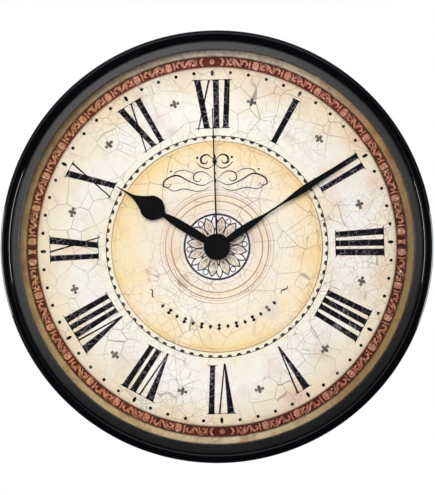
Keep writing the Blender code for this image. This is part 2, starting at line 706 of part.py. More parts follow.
def motion_wheel():
    wheel = gear("motion_wheel", MOTION_WHEEL_TEETH, MODULE_MOTION, motion_phase(), MOTION_WHEEL_LEVEL)
    join(wheel, gear("motion_pinion", MOTION_PINION_TEETH, MODULE_MOTION, motion_phase(),
                     MOTION_PINION_LEVEL), (*MOTION_AXIS, 0.0))
    join(wheel, turned_pin("motion_arbor", ARBOR_R, -2.2 * MM, ARBOR_FRONT_Z), (*MOTION_AXIS, 0.0))
    return place(wheel, "gear_white", (*MOTION_AXIS, 0.0))


def set_wheel():
    """Setting pinion in mesh with the motion wheel, on a shaft to the thumb wheel at the back."""
    phase = meshed_phase(motion_phase(), MOTION_WHEEL_TEETH, SET_PINION_TEETH, SET_DIRECTION)
    pinion = gear("set_wheel", SET_PINION_TEETH, MODULE_MOTION, phase, CANNON_PINION_LEVEL)
    shaft = turned_pin("set_shaft", SET_SHAFT_R, SET_KNOB_FRONT_Z - MM, -1.1 * MM)
    knob_points = []
    grip_count = 20
    for index in range(grip_count):
        for share, radius in ((0.0, SET_KNOB_R), (0.5, SET_KNOB_R - 0.5 * MM)):
            angle = 2 * math.pi * (index + share) / grip_count
            knob_points.append((radius * math.cos(angle), radius * math.sin(angle)))
    knob = plate("set_knob", [knob_points], SET_KNOB_FRONT_Z - SET_KNOB_THICKNESS, SET_KNOB_FRONT_Z)
    join(pinion, shaft, (*SET_AXIS, 0.0))
    join(pinion, knob, (*SET_AXIS, 0.0))
    return place(pinion, "gear_white", (*SET_AXIS, 0.0))


# ---------------------------------------------------------------- going train
def seconds_wheel():
    wheel = gear("seconds_wheel", SECONDS_WHEEL_TEETH, MODULE_FIFTH, 0.0, SECONDS_WHEEL_LEVEL)
    join(wheel, gear("seconds_pinion", SECONDS_PINION_TEETH, MODULE_THIRD, 0.0, SECONDS_PINION_LEVEL))
    join(wheel, turned_pin("seconds_shaft", SECONDS_SHAFT_R, ARBOR_REAR_Z, SECOND_HAND_Z - FIT_GAP))
    return place(wheel, "gear_white")


def third_phase():
    return meshed_phase(0.0, SECONDS_PINION_TEETH, THIRD_WHEEL_TEETH, THIRD_DIRECTION)


def third_wheel():
    wheel = gear("third_wheel", THIRD_WHEEL_TEETH, MODULE_THIRD, third_phase(), THIRD_WHEEL_LEVEL)
    join(wheel, gear("third_pinion", THIRD_PINION_TEETH, MODULE_CENTRE, third_phase(),
                     THIRD_PINION_LEVEL), (*THIRD_AXIS, 0.0))
    join(wheel, turned_pin("third_arbor", ARBOR_R, ARBOR_REAR_Z, ARBOR_FRONT_Z), (*THIRD_AXIS, 0.0))
    return place(wheel, "gear_white", (*THIRD_AXIS, 0.0))


def centre_wheel():
    phase = meshed_phase(third_phase(), THIRD_PINION_TEETH, CENTRE_WHEEL_TEETH, THIRD_DIRECTION + 180)
    wheel = gear("centre_wheel", CENTRE_WHEEL_TEETH, MODULE_CENTRE, phase, CENTRE_WHEEL_LEVEL,
                 CANNON_PIPE_INNER_R)
    return place(wheel, "gear_white")


def fifth_phase():
    return meshed_phase(0.0, SECONDS_WHEEL_TEETH, FIFTH_PINION_TEETH, FIFTH_DIRECTION)


def fifth_wheel():
    wheel = gear("fifth_wheel", FIFTH_WHEEL_TEETH, MODULE_ROTOR, fifth_phase(), FIFTH_WHEEL_LEVEL)
    join(wheel, gear("fifth_pinion", FIFTH_PINION_TEETH, MODULE_FIFTH, fifth_phase(),
                     FIFTH_PINION_LEVEL), (*FIFTH_AXIS, 0.0))
    join(wheel, turned_pin("fifth_arbor", ARBOR_R, ARBOR_REAR_Z, ARBOR_FRONT_Z), (*FIFTH_AXIS, 0.0))
    return place(wheel, "gear_white", (*FIFTH_AXIS, 0.0))


def rotor():
    phase = meshed_phase(fifth_phase(), FIFTH_WHEEL_TEETH, ROTOR_PINION_TEETH, ROTOR_DIRECTION)
    pinion = gear("rotor", ROTOR_PINION_TEETH, MODULE_ROTOR, phase, ROTOR_PINION_LEVEL)
    join(pinion, turned_pin("rotor_magnet", ROTOR_MAGNET_R, *ROTOR_MAGNET_LEVEL, 24),
         (*ROTOR_AXIS, 0.0))
    join(pinion, turned_pin("rotor_arbor", ARBOR_R, ARBOR_REAR_Z, -4.0 * MM), (*ROTOR_AXIS, 0.0))
    return place(pinion, "steel", (*ROTOR_AXIS, 0.0))


# ---------------------------------------------------------------- motor, circuit and battery
def stator():
    outline = [(x * MM, y * MM) for x, y in (
        (-15.0, 10.5), (3.0, 10.5), (4.2, 8.4), (12.0, 8.4), (12.0, 23.0), (8.4, 23.0),
        (8.4, 17.6), (-11.0, 17.6), (-11.0, 23.0), (-15.0, 23.0))]
    yoke = plate("stator", [outline, circle_points(STATOR_HOLE_R, 24, ROTOR_AXIS)],
                 STATOR_FRONT_Z - STATOR_THICKNESS, STATOR_FRONT_Z)
    return place(yoke, "steel")


def along_x(obj, x, y, z):
    """Lay a turned piece down along +X."""
    obj.rotation_euler = (0.0, math.pi / 2, 0.0)
    obj.location = (x, y, z)
    return obj


def coil():
    core = box("coil_core", (27.0 * MM, 2.8 * MM, 0.6 * MM), (-1.5 * MM, COIL_Y, COIL_Z))
    place(core, "steel")
    length = COIL_END_X - COIL_START_X
    flange = 0.8 * MM
    profile = [
        (1.7 * MM, length), (3.4 * MM, length), (3.4 * MM, length - flange),
        (2.2 * MM, length - flange), (2.2 * MM, flange), (3.4 * MM, flange),
        (3.4 * MM, 0.0), (1.7 * MM, 0.0),
    ]
    bobbin = place(turned("coil_bobbin", profile, True, 20), "gear_white")
    along_x(bobbin, COIL_START_X, COIL_Y, COIL_Z)
    winding = place(turned_ring("coil_winding", 2.5 * MM, COIL_RADIUS, flange + FIT_GAP,
                                length - flange - FIT_GAP, 20), "copper")
    along_x(winding, COIL_START_X, COIL_Y, COIL_Z)


def circuit():
    outline = rounded_box_points(5.6 * MM, 10.0 * MM, MM, (20.4 * MM, 15.5 * MM), 3)
    board = plate("circuit_board", [outline], -10.0 * MM, -9.0 * MM)
    place(board, "board_green")
    can = place(turned_pin("quartz_crystal", 1.0 * MM, 0.0, 6.0 * MM, 16), "steel")
    along_x(can, 17.4 * MM, 22.0 * MM, -7.6 * MM)
    chip_profile = [
        (0.0, -7.3 * MM), (1.8 * MM, -7.5 * MM), (2.8 * MM, -8.1 * MM), (3.0 * MM, -8.7 * MM),
        (0.0, -8.7 * MM),
    ]
    place(turned("driver_chip", chip_profile, False, 20), "case_black", (20.4 * MM, 12.0 * MM, 0.0))


def battery():
    profile = [
        (0.0, CELL_BODY_LENGTH + CELL_NUB_LENGTH),
        (CELL_NUB_RADIUS, CELL_BODY_LENGTH + CELL_NUB_LENGTH),
        (CELL_NUB_RADIUS, CELL_BODY_LENGTH),
        (CELL_RADIUS - 0.5 * MM, CELL_BODY_LENGTH),
        (CELL_RADIUS, CELL_BODY_LENGTH - 0.5 * MM),
        (CELL_RADIUS, 0.5 * MM),
        (CELL_RADIUS - 0.5 * MM, 0.0),
        (0.0, 0.0),
    ]
    start_x = -(CELL_BODY_LENGTH + CELL_NUB_LENGTH) / 2
    cell = place(turned("battery_cell", profile, False, 32), "cell_wrap")
    along_x(cell, start_x, CELL_Y, CELL_Z)
    for name, side in (("battery_contact_positive", 1), ("battery_contact_negative", -1)):
        contact = box(name, (CONTACT_THICKNESS, 9.0 * MM, 9.0 * MM),
                      (side * (BAY_HALF_WIDTH - 0.5 * MM), CELL_Y, CELL_Z))
        place(contact, "brass")


# ---------------------------------------------------------------- assembly
def build():
    front_bezel()
    lens()
    dial_spacer_ring()
    dial_plate()
    rear_case()
    hanger_plate()
    screws()
    movement_front_plate()
    movement_housing()
    movement_nut()
    washers()
    hour_hand()
    minute_hand()
    second_hand()
    hour_wheel()
    cannon_pinion()
    motion_wheel()
    set_wheel()
    seconds_wheel()
    third_wheel()
    centre_wheel()
    fifth_wheel()
    rotor()
    stator()
    coil()
    circuit()
    battery()


build()
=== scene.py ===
"""Looks of the round wall clock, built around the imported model.

The dial faces -Y, +X is to 3 o'clock and +Z is up to 12 o'clock. Angles on the dial are degrees
clockwise from 12. Blender's lengths are metres: a named length with MM is in metres already, and
one without it, like those in the tables, is in millimetres until it is used. Depths count towards
the viewer, from the middle of the clock's thickness.
"""

import json
import math

import bmesh
import bpy
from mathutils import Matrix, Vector


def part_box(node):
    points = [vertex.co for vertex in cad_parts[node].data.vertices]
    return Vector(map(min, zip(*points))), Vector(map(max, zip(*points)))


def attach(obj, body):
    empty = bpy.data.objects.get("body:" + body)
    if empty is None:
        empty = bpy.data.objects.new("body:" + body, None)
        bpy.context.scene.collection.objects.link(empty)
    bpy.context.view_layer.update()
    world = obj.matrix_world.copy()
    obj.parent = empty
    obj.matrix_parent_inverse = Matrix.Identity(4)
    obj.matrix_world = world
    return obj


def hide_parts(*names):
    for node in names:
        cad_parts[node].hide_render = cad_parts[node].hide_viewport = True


MM = 0.001
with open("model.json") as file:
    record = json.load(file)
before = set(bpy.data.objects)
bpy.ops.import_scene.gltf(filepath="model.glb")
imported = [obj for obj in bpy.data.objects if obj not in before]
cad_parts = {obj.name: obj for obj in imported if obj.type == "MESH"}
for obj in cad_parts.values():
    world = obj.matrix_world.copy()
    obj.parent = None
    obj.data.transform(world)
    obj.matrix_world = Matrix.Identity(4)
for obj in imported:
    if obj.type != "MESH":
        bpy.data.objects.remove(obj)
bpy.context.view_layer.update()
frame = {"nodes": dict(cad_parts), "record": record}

# ------------------------------------------------------------------ sizes read from the frame
LENS_LOW, LENS_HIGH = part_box("lens")
DIAL_LOW, DIAL_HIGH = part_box("dial_plate")
SPACER_LOW, SPACER_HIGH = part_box("dial_spacer_ring")
LENS_RADIUS = LENS_HIGH.x
DIAL_RADIUS = DIAL_HIGH.x
DIAL_FACE_Y = DIAL_LOW.y

# ------------------------------------------------------------------ case
BEAD_CENTRE_R = 149.0 * MM
BEAD_CENTRE_Z = 17.5 * MM
BEAD_HALF = 3.5 * MM
BEAD_SQUARENESS = 0.68
# The bead's section starts at this many half turns and sweeps back over its top
BEAD_START = 1.02
BEAD_SWEEP = 1.12
BEAD_STEPS = 40
SATIN_OUTER_R = 145.4 * MM
SATIN_REAR_Z = 17.0 * MM
LENS_ROUNDING = 0.25 * MM
SPACER_INNER_R = 139.6 * MM
SPACER_ROUNDING = 0.3 * MM
DIAL_HOLE_R = 4.4 * MM
DIAL_ROUNDING = 0.12 * MM
SCREW_COUNT = 6
SCREW_RING_R = 146.2 * MM
FIRST_SCREW_ANGLE = 30
SCREW_HOLE_R = 1.6 * MM
SCREW_HOLE_Z = (-7 * MM, -12 * MM)
HOLE_SIDES = 24
HANGER_SCREW_X = 15 * MM
HANGER_SCREW_UP = 104 * MM
HANGER_CUT_Z = (-14 * MM, -20 * MM)
TURN_STEPS = 240
BOSS_STEPS = 32
CAP_STEPS = 96
MERGE_DISTANCE = 0.0000005
SHARP_ANGLE = math.radians(38)
# A rounded corner takes at most this share of a side, and a point beyond it keeps the side flat
CORNER_REACH = 0.36
FLAT_GUARD = 1.2

# Turned profiles: radius mm, depth mm, share of the profile's corner rounding
BEZEL_CORNERS = (
    (151.4, 9.0, 0.6), (150.2, -8.3, 1.0), (148.2, -8.3, 0.6), (148.2, 11.0, 0.6), (144.2, 11.0, 0.6),
    (144.2, -8.3, 0.6), (142.4, -8.3, 0.6), (142.4, 17.3, 0.3), (139.4, 17.3, 0.4), (139.4, 19.3, 0.7),
    (145.45, 17.4, 0.2),
)
BEZEL_ROUNDING = 0.6 * MM
BOSS_CORNERS = ((1.6, -8.0, 1.0), (2.9, -8.0, 1.0), (2.9, 6.0, 0.0), (1.6, 6.0, 0.0))
BOSS_ROUNDING = 0.3 * MM
REAR_CASE_CORNERS = (
    (139.6, 3.7, 0.4), (141.6, 3.7, 0.4), (141.6, -8.6, 0.3), (149.3, -8.6, 0.6), (149.3, -10.8, 1.0),
    (137.0, -10.8, 1.0), (126.0, -21.0, 1.3), (119.5, -21.0, 1.3), (118.5, -17.9, 1.0), (92.0, -17.9, 0.4),
    (91.6, -17.5, 0.4), (88.4, -17.5, 0.4), (88.0, -17.9, 0.4), (63.2, -17.9, 0.6), (62.8, -18.6, 0.6),
    (60.0, -18.6, 0.6), (60.0, -15.7, 0.6), (125.0, -15.7, 0.6), (135.0, -8.6, 0.6), (139.6, -8.6, 0.3),
)
REAR_CASE_ROUNDING = 0.7 * MM
NAIL_WINDOW = ((-8, 94), (8, 94), (8, 114), (-8, 114))
CAP_CORNERS = ((0.0, 14.0, 0), (9.45, 13.75, 1), (9.45, 12.4, 0.6), (0.9, 12.4, 0.2), (0.0, 12.4, 0))
CAP_ROUNDING = 0.55 * MM

# ------------------------------------------------------------------ hands
# Blades: distance from the centre, half width
HOUR_BLADE = ((6.0, 2.5), (14.0, 2.85), (22.0, 3.1), (33.0, 3.0), (40.0, 2.3), (43.5, 1.9), (46.0, 4.8),
              (49.5, 7.8), (53.5, 8.6), (57.5, 7.8), (60.5, 5.6), (66.0, 2.6), (71.0, 1.0), (83.0, 0.3))
MINUTE_BLADE = ((5.0, 1.9), (12.0, 2.4), (20.0, 2.7), (28.0, 2.5), (34.5, 1.8), (42.0, 0.85), (54.0, 0.75),
                (60.0, 1.2), (67.0, 2.0), (75.0, 2.45), (83.0, 2.1), (100.0, 1.2), (119.0, 0.3))
SECOND_BLADE = ((9.0, 0.6), (60.0, 0.48), (98.0, 0.35))

# Piece, body, CAD node, hub radius, blade, clockwise angle, front and rear depth, bore radius
HANDS = (
    ("hour_blade", "hour", "hour_hand", 6.5, HOUR_BLADE, 301.0, 9.6, 9.0, 2.9),
    ("minute_blade", "minute", "minute_hand", 5.5, MINUTE_BLADE, 56.4, 11.3, 10.7, 2.0),
    ("second_blade", "second", "second_hand", 8.5, SECOND_BLADE, 358.1, 13.0, 12.4, 0),
)
BLADE_STEPS = 7
BLADE_THINNEST = 0.15
HUB_SIDES = 48
BORE_SIDES = 32
HAND_BEVEL = 0.13
HAND_BEVEL_ANGLE = 50

# ------------------------------------------------------------------ print on the dial
# The print sits a little turned and enlarged on its sheet
PRINT_TURN = -1.6
PRINT_SCALE = 1.006
# Ink reaches this far into the sheet and above it, and rises for each level laid over another
INK_SINK = 0.01
INK_HEIGHT = 0.03
INK_LEVEL = 0.02
NUMERAL_FOOT_R = 83.6 * MM
NUMERAL_HEAD_R = 117.7 * MM
HAIRLINE = 0.42 * MM
SERIF_REACH = 1.4 * MM
THICK_FLARE = 0.45 * MM
THIN_FLARE = 0.25 * MM
POINT_DROP = 1.2 * MM
BRACKET_HEIGHTS = (0.96, 0.9)
# Widths that tell thick strokes, thin strokes, points and slanting strokes apart
THICK_STROKE = 2.5
THIN_STROKE = 2.0
POINTED_FOOT = 1.3
LEANING_STROKE = 6.5
DOT_RING_R = 123.0 * MM
DOT_RADIUS = 1.2 * MM
DOT_SIDES = 16
OVAL_RING_R = DOT_RING_R - 0.6 * MM
OVAL_HALF_WIDTH = 1.15 * MM
OVAL_HALF_LENGTH = 2.15 * MM
OVAL_POINTEDNESS = 1.2
OVAL_SIDES = 24
FLEUR_RING_R = 104.6 * MM
TRACK_LINE_R = 78.2 * MM
TRACK_LINE_WIDTH = 0.5 * MM
TRACK_BLOCKS = 72
BLOCK_HALF_WIDTH = 1.75 * MM
BLOCK_DROP = 1.9 * MM
BLOCK_ROUNDNESS = 0.8
BLOCK_SIDES = 10
BAND_INNER_R = 127.2 * MM
BAND_MIDDLE_R = 130.3 * MM
# Degrees from one repeat to the next, and from 12 or 6 to the first
BAND_PITCH = 10.45
BAND_LEAD = 3.4
BAND_REPEATS = 8
BAND_MIDDLE = 3.1
BAND_PEARL = 1.7
ROSETTE_R = 22.9 * MM
ROSETTE_RING_WIDTH = 1.45 * MM
ROSETTE_GROUND_R = 22.6 * MM
ROSETTE_PAIRS = 6
PAIR_ANGLE = 26.0
LEAF_ANGLE = -4.0
PETAL_LEAN = 14.0
# Leaves: inner and outer radius, half width
PETAL_EDGE = (6.0, 21.9, 3.7)
PETAL = (7.4, 20.6, 2.9)
LEAF_EDGE = (11.5, 22.6, 2.5)
LEAF = (13.0, 21.4, 1.6)
PEARL_PLACE = (0.0, 19.5)
PEARL_RIM = 2.2
PEARL = 1.5
PEARL_SIDES = 18
TILDE_RING_R = 56.0 * MM
TILDE_ANGLE = 55.9
LOZENGE_PITCH = 6.3
PEN_THIN = 0.28
PEN_STEPS = 6
PEN_DOT_SIDES = 12
TILDE_THICKNESS = 1.0

# ------------------------------------------------------------------ drawn shapes, (x, y) in mm
FLEUR_BAR = (
    (-3.5, 0.2), (-3.2, 1.1), (-2.4, 1.4), (-1.7, 0.9), (-0.8, 0.75), (0.8, 0.75), (1.7, 0.9), (2.4, 1.4),
    (3.2, 1.1), (3.5, 0.2), (3.2, -0.9), (2.4, -1.1), (1.7, -0.6), (0.8, -0.7), (-0.8, -0.7), (-1.7, -0.6),
    (-2.4, -1.1), (-3.2, -0.9),
)
FLEUR_FINIAL = ((0.0, 3.3), (0.9, 2.5), (1.3, 1.6), (0.9, 0.5), (-0.9, 0.5), (-1.3, 1.6), (-0.9, 2.5))
FLEUR_TAIL = ((-0.8, -0.5), (0.8, -0.5), (1.2, -1.5), (0.8, -2.3), (0.0, -2.9), (-0.8, -2.3), (-1.2, -1.5))
# Hooks of the border: centre, start and sweep in degrees, first and last radius, widths
FIRST_HOOK = ((5.6, 2.6), 330, -350, 0.8, 2.5, (1.2, 1.7))
SECOND_HOOK = ((15.6, 2.9), 200, -260, 2.7, 1.2, (2.0, 1.0))
# Other strokes of the border: points, widths
HOOK_TAIL = (((4.6, 5.0), (6.8, 5.2), (8.8, 4.4), (10.3, 2.7), (11.8, 1.2), (13.4, 1.0)),
             (1.3, 1.8, 2.0, 1.7, 1.3, 0.5))
HOOK_LEAVES = (
    (((12.0, 5.7), (12.7, 4.4), (12.6, 2.9)), (0.6, 1.3, 0.6)),
    (((9.3, 0.8), (8.5, 1.9), (8.4, 0.5)), (0.6, 1.2, 0.4)),
    (((19.4, 5.8), (18.9, 3.5), (19.3, 0.6)), (0.8, 1.3, 0.9)),
    (((2.9, 5.7), (3.3, 3.3), (2.9, 0.6)), (0.6, 0.9, 0.6)),
)
PEARL_BRACE = (((6.2, 0.5), (7.6, 1.7), (8.0, 3.1), (7.6, 4.5), (6.2, 5.8)), (0.8, 1.5, 1.8, 1.5, 0.8))
EGG = ((-2.5, 0.7), (-2.9, 3.0), (-2.4, 5.4), (0.0, 6.0), (2.4, 5.4), (2.9, 3.0), (2.5, 0.7), (0.0, 0.2))
EGG_SHADE = ((1.3, 0.6), (1.8, 3.0), (1.2, 5.5), (2.4, 5.4), (2.9, 3.0), (2.5, 0.7))
BAND_POST = ((-1.6, 0.4), (-1.0, 3.0), (-1.8, 5.7), (1.8, 5.7), (1.0, 3.0), (1.6, 0.4))
LEAF_VEINS = (
    ((-0.16, 9.0), (0.16, 9.0), (0.1, 19.0), (-0.1, 19.0)),
    ((0.2, 11.0), (1.9, 15.2), (1.75, 15.6), (0.1, 11.8)),
    ((-0.2, 11.0), (-1.9, 15.2), (-1.75, 15.6), (-0.1, 11.8)),
)
# Pen strokes on the right side of the upper scroll: points, thickness
PEN_STROKES = (
    (((1.5, 47.0), (9.0, 43.5), (18.0, 46.5), (27.0, 51.0), (35.0, 48.0), (36.5, 43.8), (33.0, 42.6),
      (31.2, 45.2)), 1.1),
    (((2.0, 48.5), (8.0, 53.0), (14.0, 52.0), (15.0, 47.6), (11.6, 46.2), (9.6, 48.6)), 0.9),
    (((14.5, 51.5), (21.0, 54.5), (27.5, 53.4), (28.6, 49.8)), 0.7),
    (((4.0, 42.0), (12.0, 39.4), (22.0, 41.4), (30.0, 40.2), (38.5, 45.5)), 0.7),
    (((1.2, 61.8), (5.0, 65.0), (9.0, 63.6), (9.4, 59.8), (6.2, 58.8), (5.0, 61.0)), 1.5),
    (((0.8, 58.0), (4.5, 55.4), (9.5, 56.6), (13.0, 60.0)), 0.9),
)
# Dots of the same scroll: x, y, radius
PEN_DOTS = ((12.2, 63.0, 0.9), (31.0, 54.0, 0.7), (0.01, 52.0, 0.8))
# Right sides of shapes that are mirrored
PEN_DROPS = (
    [(0.0, 44.0), (1.0, 46.5), (0.0, 49.5)],
    [(0.0, 56.5), (1.7, 60.0), (0.9, 63.5), (0.0, 66.5)],
)
SMALL_LOZENGE = [(0.0, 54.7), (1.3, 56.5), (0.0, 58.3)]
LARGE_LOZENGE = [(0.0, 53.9), (1.5, 55.3), (0.45, 56.5), (1.5, 57.7), (0.0, 59.1)]
TILDE = ((-3.6, 0.3), (-1.9, 1.3), (0.0, 0.1), (1.9, -1.1), (3.6, 0.1))
# Strokes of each numeral from XII on: left and right at the head, then left and right at the foot
NUMERALS = (
    ((-12.9, -8.6, -6.8, -2.6), (-3.1, -1.7, -11.3, -10.4), (0.3, 4.5, 0.2, 4.0), (8.6, 12.4, 6.4, 10.5)),
    ((-2.2, 2.2, -1.9, 1.9),),
    ((-5.0, -1.0, -4.4, -0.9), (2.8, 7.0, 2.5, 6.0)),
    ((-10.1, -5.5, -8.2, -4.1), (-2.1, 2.5, -2.1, 2.0), (4.5, 9.4, 4.0, 8.4)),
    ((-12.1, -7.9, -10.6, -6.6), (-5.1, -1.0, -5.0, -1.2), (1.2, 4.8, 0.2, 4.0), (8.1, 12.2, 6.3, 9.8)),
    ((-4.3, 0.9, -0.6, 0.5), (4.9, 6.2, -0.4, 0.5)),
    ((-9.2, -4.2, -3.7, -2.7), (0.8, 2.1, -3.4, -2.5), (5.1, 9.3, 3.6, 7.2)),
    ((-12.4, -6.6, -6.0, -5.0), (-2.2, -0.9, -5.8, -4.9), (1.7, 6.1, -0.6, 3.3), (8.3, 12.7, 5.3, 8.8)),
    ((-15.9, -9.9, -7.3, -6.3), (-5.6, -4.3, -7.1, -6.2), (-3.3, 1.2, -2.3, 0.8), (3.6, 7.4, 2.6, 6.1),
     (9.4, 13.9, 8.8, 12.5)),
    ((-7.1, -3.0, -6.0, -2.5), (5.3, 10.3, 1.4, 5.5), (-1.1, 0.2, 8.5, 9.4)),
    ((-7.1, -2.5, 1.6, 5.6), (2.7, 4.0, -5.5, -4.6)),
    ((-9.6, -5.0, -2.4, 1.4), (0.6, 1.9, -8.0, -7.1), (4.5, 8.7, 3.9, 7.4)),
)

# ------------------------------------------------------------------ colours, 8-bit sRGB
# Paper: radius mm, colour
PAPER_TINTS = (
    (0, (236, 226, 222)), (24, (240, 230, 220)), (33, (245, 231, 210)), (46, (243, 233, 218)),
    (60, (246, 229, 198)), (68, (245, 222, 178)), (73, (242, 212, 156)), (76, (246, 238, 220)),
    (84, (243, 237, 226)), (100, (244, 240, 233)), (110, (242, 234, 218)), (118, (238, 226, 204)),
    (123, (233, 218, 192)), (127, (214, 190, 160)), (142, (200, 172, 138)),
)
# Clean white, straw, pink and brown clouds: noise scale, detail and roughness, shift of the pattern,
# where it starts and is full, strength, colour
PAPER_CLOUDS = (
    (16, 3.0, 0.55, (0.0, 0.0, 0.0), 0.48, 0.68, 0.45, (246, 243, 240)),
    (19, 4.0, 0.6, (0.37, 0.0, 0.19), 0.50, 0.72, 0.42, (242, 222, 182)),
    (27, 5.0, 0.65, (-0.21, 0.0, 0.53), 0.54, 0.74, 0.50, (230, 190, 164)),
    (110, 5.0, 0.7, (0.0, 0.0, 0.0), 0.50, 0.72, 0.34, (228, 194, 150)),
)
# Soft blots: clockwise angle, radius mm, size mm, colour, strength
STAINS = (
    (334, 98, 9, (222, 196, 184), 0.55),
    (332, 118, 8, (226, 190, 172), 0.50),
    (338, 88, 7, (205, 188, 178), 0.50),
    (352, 118, 12, (228, 196, 176), 0.40),
    (12, 112, 11, (224, 202, 190), 0.45),
    (33, 93, 6, (206, 186, 176), 0.60),
    (31, 118, 10, (226, 196, 178), 0.45),
    (52, 124, 14, (222, 170, 140), 0.55),
    (68, 121, 11, (226, 188, 160), 0.45),
    (100, 118, 14, (226, 190, 160), 0.50),
    (108, 108, 12, (224, 198, 176), 0.40),
    (135, 104, 13, (222, 196, 182), 0.45),
    (152, 118, 15, (216, 170, 158), 0.60),
    (156, 95, 12, (226, 196, 186), 0.40),
    (170, 104, 10, (228, 206, 192), 0.40),
    (196, 120, 12, (230, 204, 170), 0.45),
    (218, 104, 13, (226, 206, 186), 0.40),
    (238, 116, 13, (232, 202, 168), 0.45),
    (262, 120, 12, (232, 206, 170), 0.45),
    (292, 118, 12, (230, 208, 176), 0.40),
    (316, 70, 10, (240, 205, 138), 0.55),
    (300, 70, 12, (242, 208, 140), 0.50),
    (280, 69, 12, (242, 210, 146), 0.40),
    (20, 68, 14, (243, 208, 150), 0.45),
    (60, 69, 12, (243, 210, 152), 0.40),
    (95, 66, 14, (243, 208, 152), 0.45),
    (140, 60, 12, (206, 196, 202), 0.45),
    (210, 62, 14, (244, 212, 160), 0.45),
    (250, 60, 16, (243, 212, 158), 0.45),
    (0, 44, 10, (238, 228, 226), 0.50),
)
# Brown and gold rings round the centre: radius mm, half width mm, strength, colour
PRINTED_RINGS = (
    (26.4, 0.6, 0.55, (190, 146, 104)),
    (28.5, 1.8, 0.30, (240, 212, 176)),
    (32.2, 0.75, 1.0, (146, 96, 50)),
    (33.9, 1.8, 0.50, (243, 212, 168)),
    (36.4, 0.65, 1.0, (138, 86, 42)),
    (37.9, 0.4, 0.70, (160, 112, 68)),
    (40.1, 0.45, 0.70, (160, 116, 76)),
    (45.8, 0.35, 0.30, (186, 150, 116)),
    (72.8, 1.1, 0.35, (226, 184, 112)),
    (71.7, 0.3, 0.45, (176, 132, 84)),
    (74.3, 0.6, 1.0, (118, 80, 38)),
)
# Dark lines on both sides of the border: radius mm, half width mm, strength
BORDER_LINES = ((127.3, 0.6, 0.7), (133.7, 1.6, 0.95))
# Radii between which the paper turns into the band, and the band into the edge
BAND_START = (125.4 * MM, 127.2 * MM)
EDGE_START = (133.2 * MM, 134.6 * MM)
# The print gives way to bare card between these depths behind the face
CARD_START = (0.2 * MM, 0.4 * MM)
# Round the dial: share of a turn from 12, colour
BAND_HUES = (
    (0.0, (112, 44, 38)), (0.10, (104, 36, 24)), (0.25, (64, 26, 10)), (0.38, (72, 22, 8)),
    (0.50, (74, 24, 12)), (0.62, (92, 36, 16)), (0.75, (82, 40, 16)), (0.88, (104, 40, 22)),
    (1.0, (112, 44, 38)),
)
# Tan edge: the gold at 3 and 9 is print; the pale tan at 12 is painted light, lighter than the print, to make
# up for the bezel's shadow on the edge
EDGE_HUES_WITH_PAINTED_LIGHT = (
    (0.0, (246, 234, 214)), (0.06, (236, 214, 188)), (0.14, (180, 142, 104)), (0.25, (142, 118, 80)),
    (0.38, (150, 126, 86)), (0.46, (206, 184, 148)), (0.50, (220, 198, 168)), (0.56, (202, 176, 134)),
    (0.66, (178, 148, 102)), (0.75, (174, 144, 96)), (0.86, (190, 158, 112)), (0.94, (228, 206, 176)),
    (1.0, (246, 234, 214)),
)
SCROLL_HUES = (
    (0.0, (212, 142, 122)), (0.10, (196, 112, 82)), (0.25, (160, 86, 48)), (0.38, (170, 80, 44)),
    (0.50, (172, 84, 54)), (0.62, (200, 112, 62)), (0.75, (184, 118, 64)), (0.88, (208, 124, 80)),
    (1.0, (212, 142, 122)),
)
# Battery sleeve: share of its length, colour, and share of its length, metallic
CELL_BANDS = (
    (0.0, (196, 196, 198)), (0.012, (22, 22, 24)), (0.66, (22, 22, 24)), (0.665, (206, 170, 110)),
    (0.68, (206, 170, 110)), (0.685, (184, 108, 60)), (0.965, (184, 108, 60)), (0.97, (200, 200, 202)),
)
CELL_METAL = ((0.0, 1), (0.012, 0.1), (0.665, 0.85), (0.97, 1))
# Scrollwork inks: name, how far they are lifted towards cream
SCROLL_INKS = (("scroll_ink", 0.12), ("egg_ink", 0.18))
# Flat inks: name, dark colour, light colour, noise scale
INKS = (
    ("brown_ink", (66, 48, 52), (118, 92, 86), 300),
    ("soft_black_ink", (22, 18, 20), (66, 54, 52), 240),
    ("grey_ink", (70, 62, 62), (128, 114, 106), 180),
    ("petal_ink", (208, 188, 164), (244, 235, 223), 420),
    ("cream_ink", (240, 230, 220), (250, 246, 242), 200),
    ("pearl_ink", (240, 236, 234), (252, 251, 250), 200),
    ("rust_ink", (70, 30, 20), (120, 62, 42), 300),
    ("plum_ink", (42, 28, 36), (74, 56, 62), 300),
)
# Plastics and rubber: name, dark colour, light colour, roughness, grain scale, grain depth mm
PLASTICS = (
    ("spacer_black", (22, 22, 22), (34, 34, 34), (0.42, 0.55), 1800, 0.03),
    ("case_black", (26, 26, 27), (40, 40, 41), (0.50, 0.66), 1800, 0.03),
    ("movement_black", (20, 20, 21), (34, 34, 35), (0.42, 0.58), 1800, 0.03),
    ("washer_rubber", (20, 20, 20), (38, 38, 38), (0.75, 0.9), 1800, 0.03),
    ("gear_plastic", (214, 210, 198), (236, 233, 224), (0.34, 0.5), 1200, 0.01),
    ("chip_resin", (14, 14, 14), (26, 26, 26), (0.25, 0.4), 1800, 0.03),
)
# Metals: name, dark colour, light colour, roughness
METALS = (
    ("screw_steel", (168, 168, 170), (206, 206, 208), (0.22, 0.40)),
    ("hanger_steel", (160, 161, 163), (200, 201, 203), (0.26, 0.46)),
    ("nut_brass", (176, 136, 66), (218, 180, 104), (0.22, 0.40)),
    ("pipe_brass", (180, 140, 70), (222, 186, 110), (0.22, 0.40)),
    ("rotor_steel", (92, 92, 96), (132, 132, 136), (0.3, 0.5)),
    ("stator_iron", (138, 138, 140), (176, 176, 178), (0.3, 0.5)),
    ("crystal_can", (186, 187, 190), (220, 221, 224), (0.12, 0.26)),
    ("contact_metal", (190, 186, 176), (222, 218, 208), (0.18, 0.32)),
)
METAL_GRAIN = (40, 40, 1600)
# Nearly all of a noise's values lie between these
USUAL_NOISE = (0.3, 0.7)

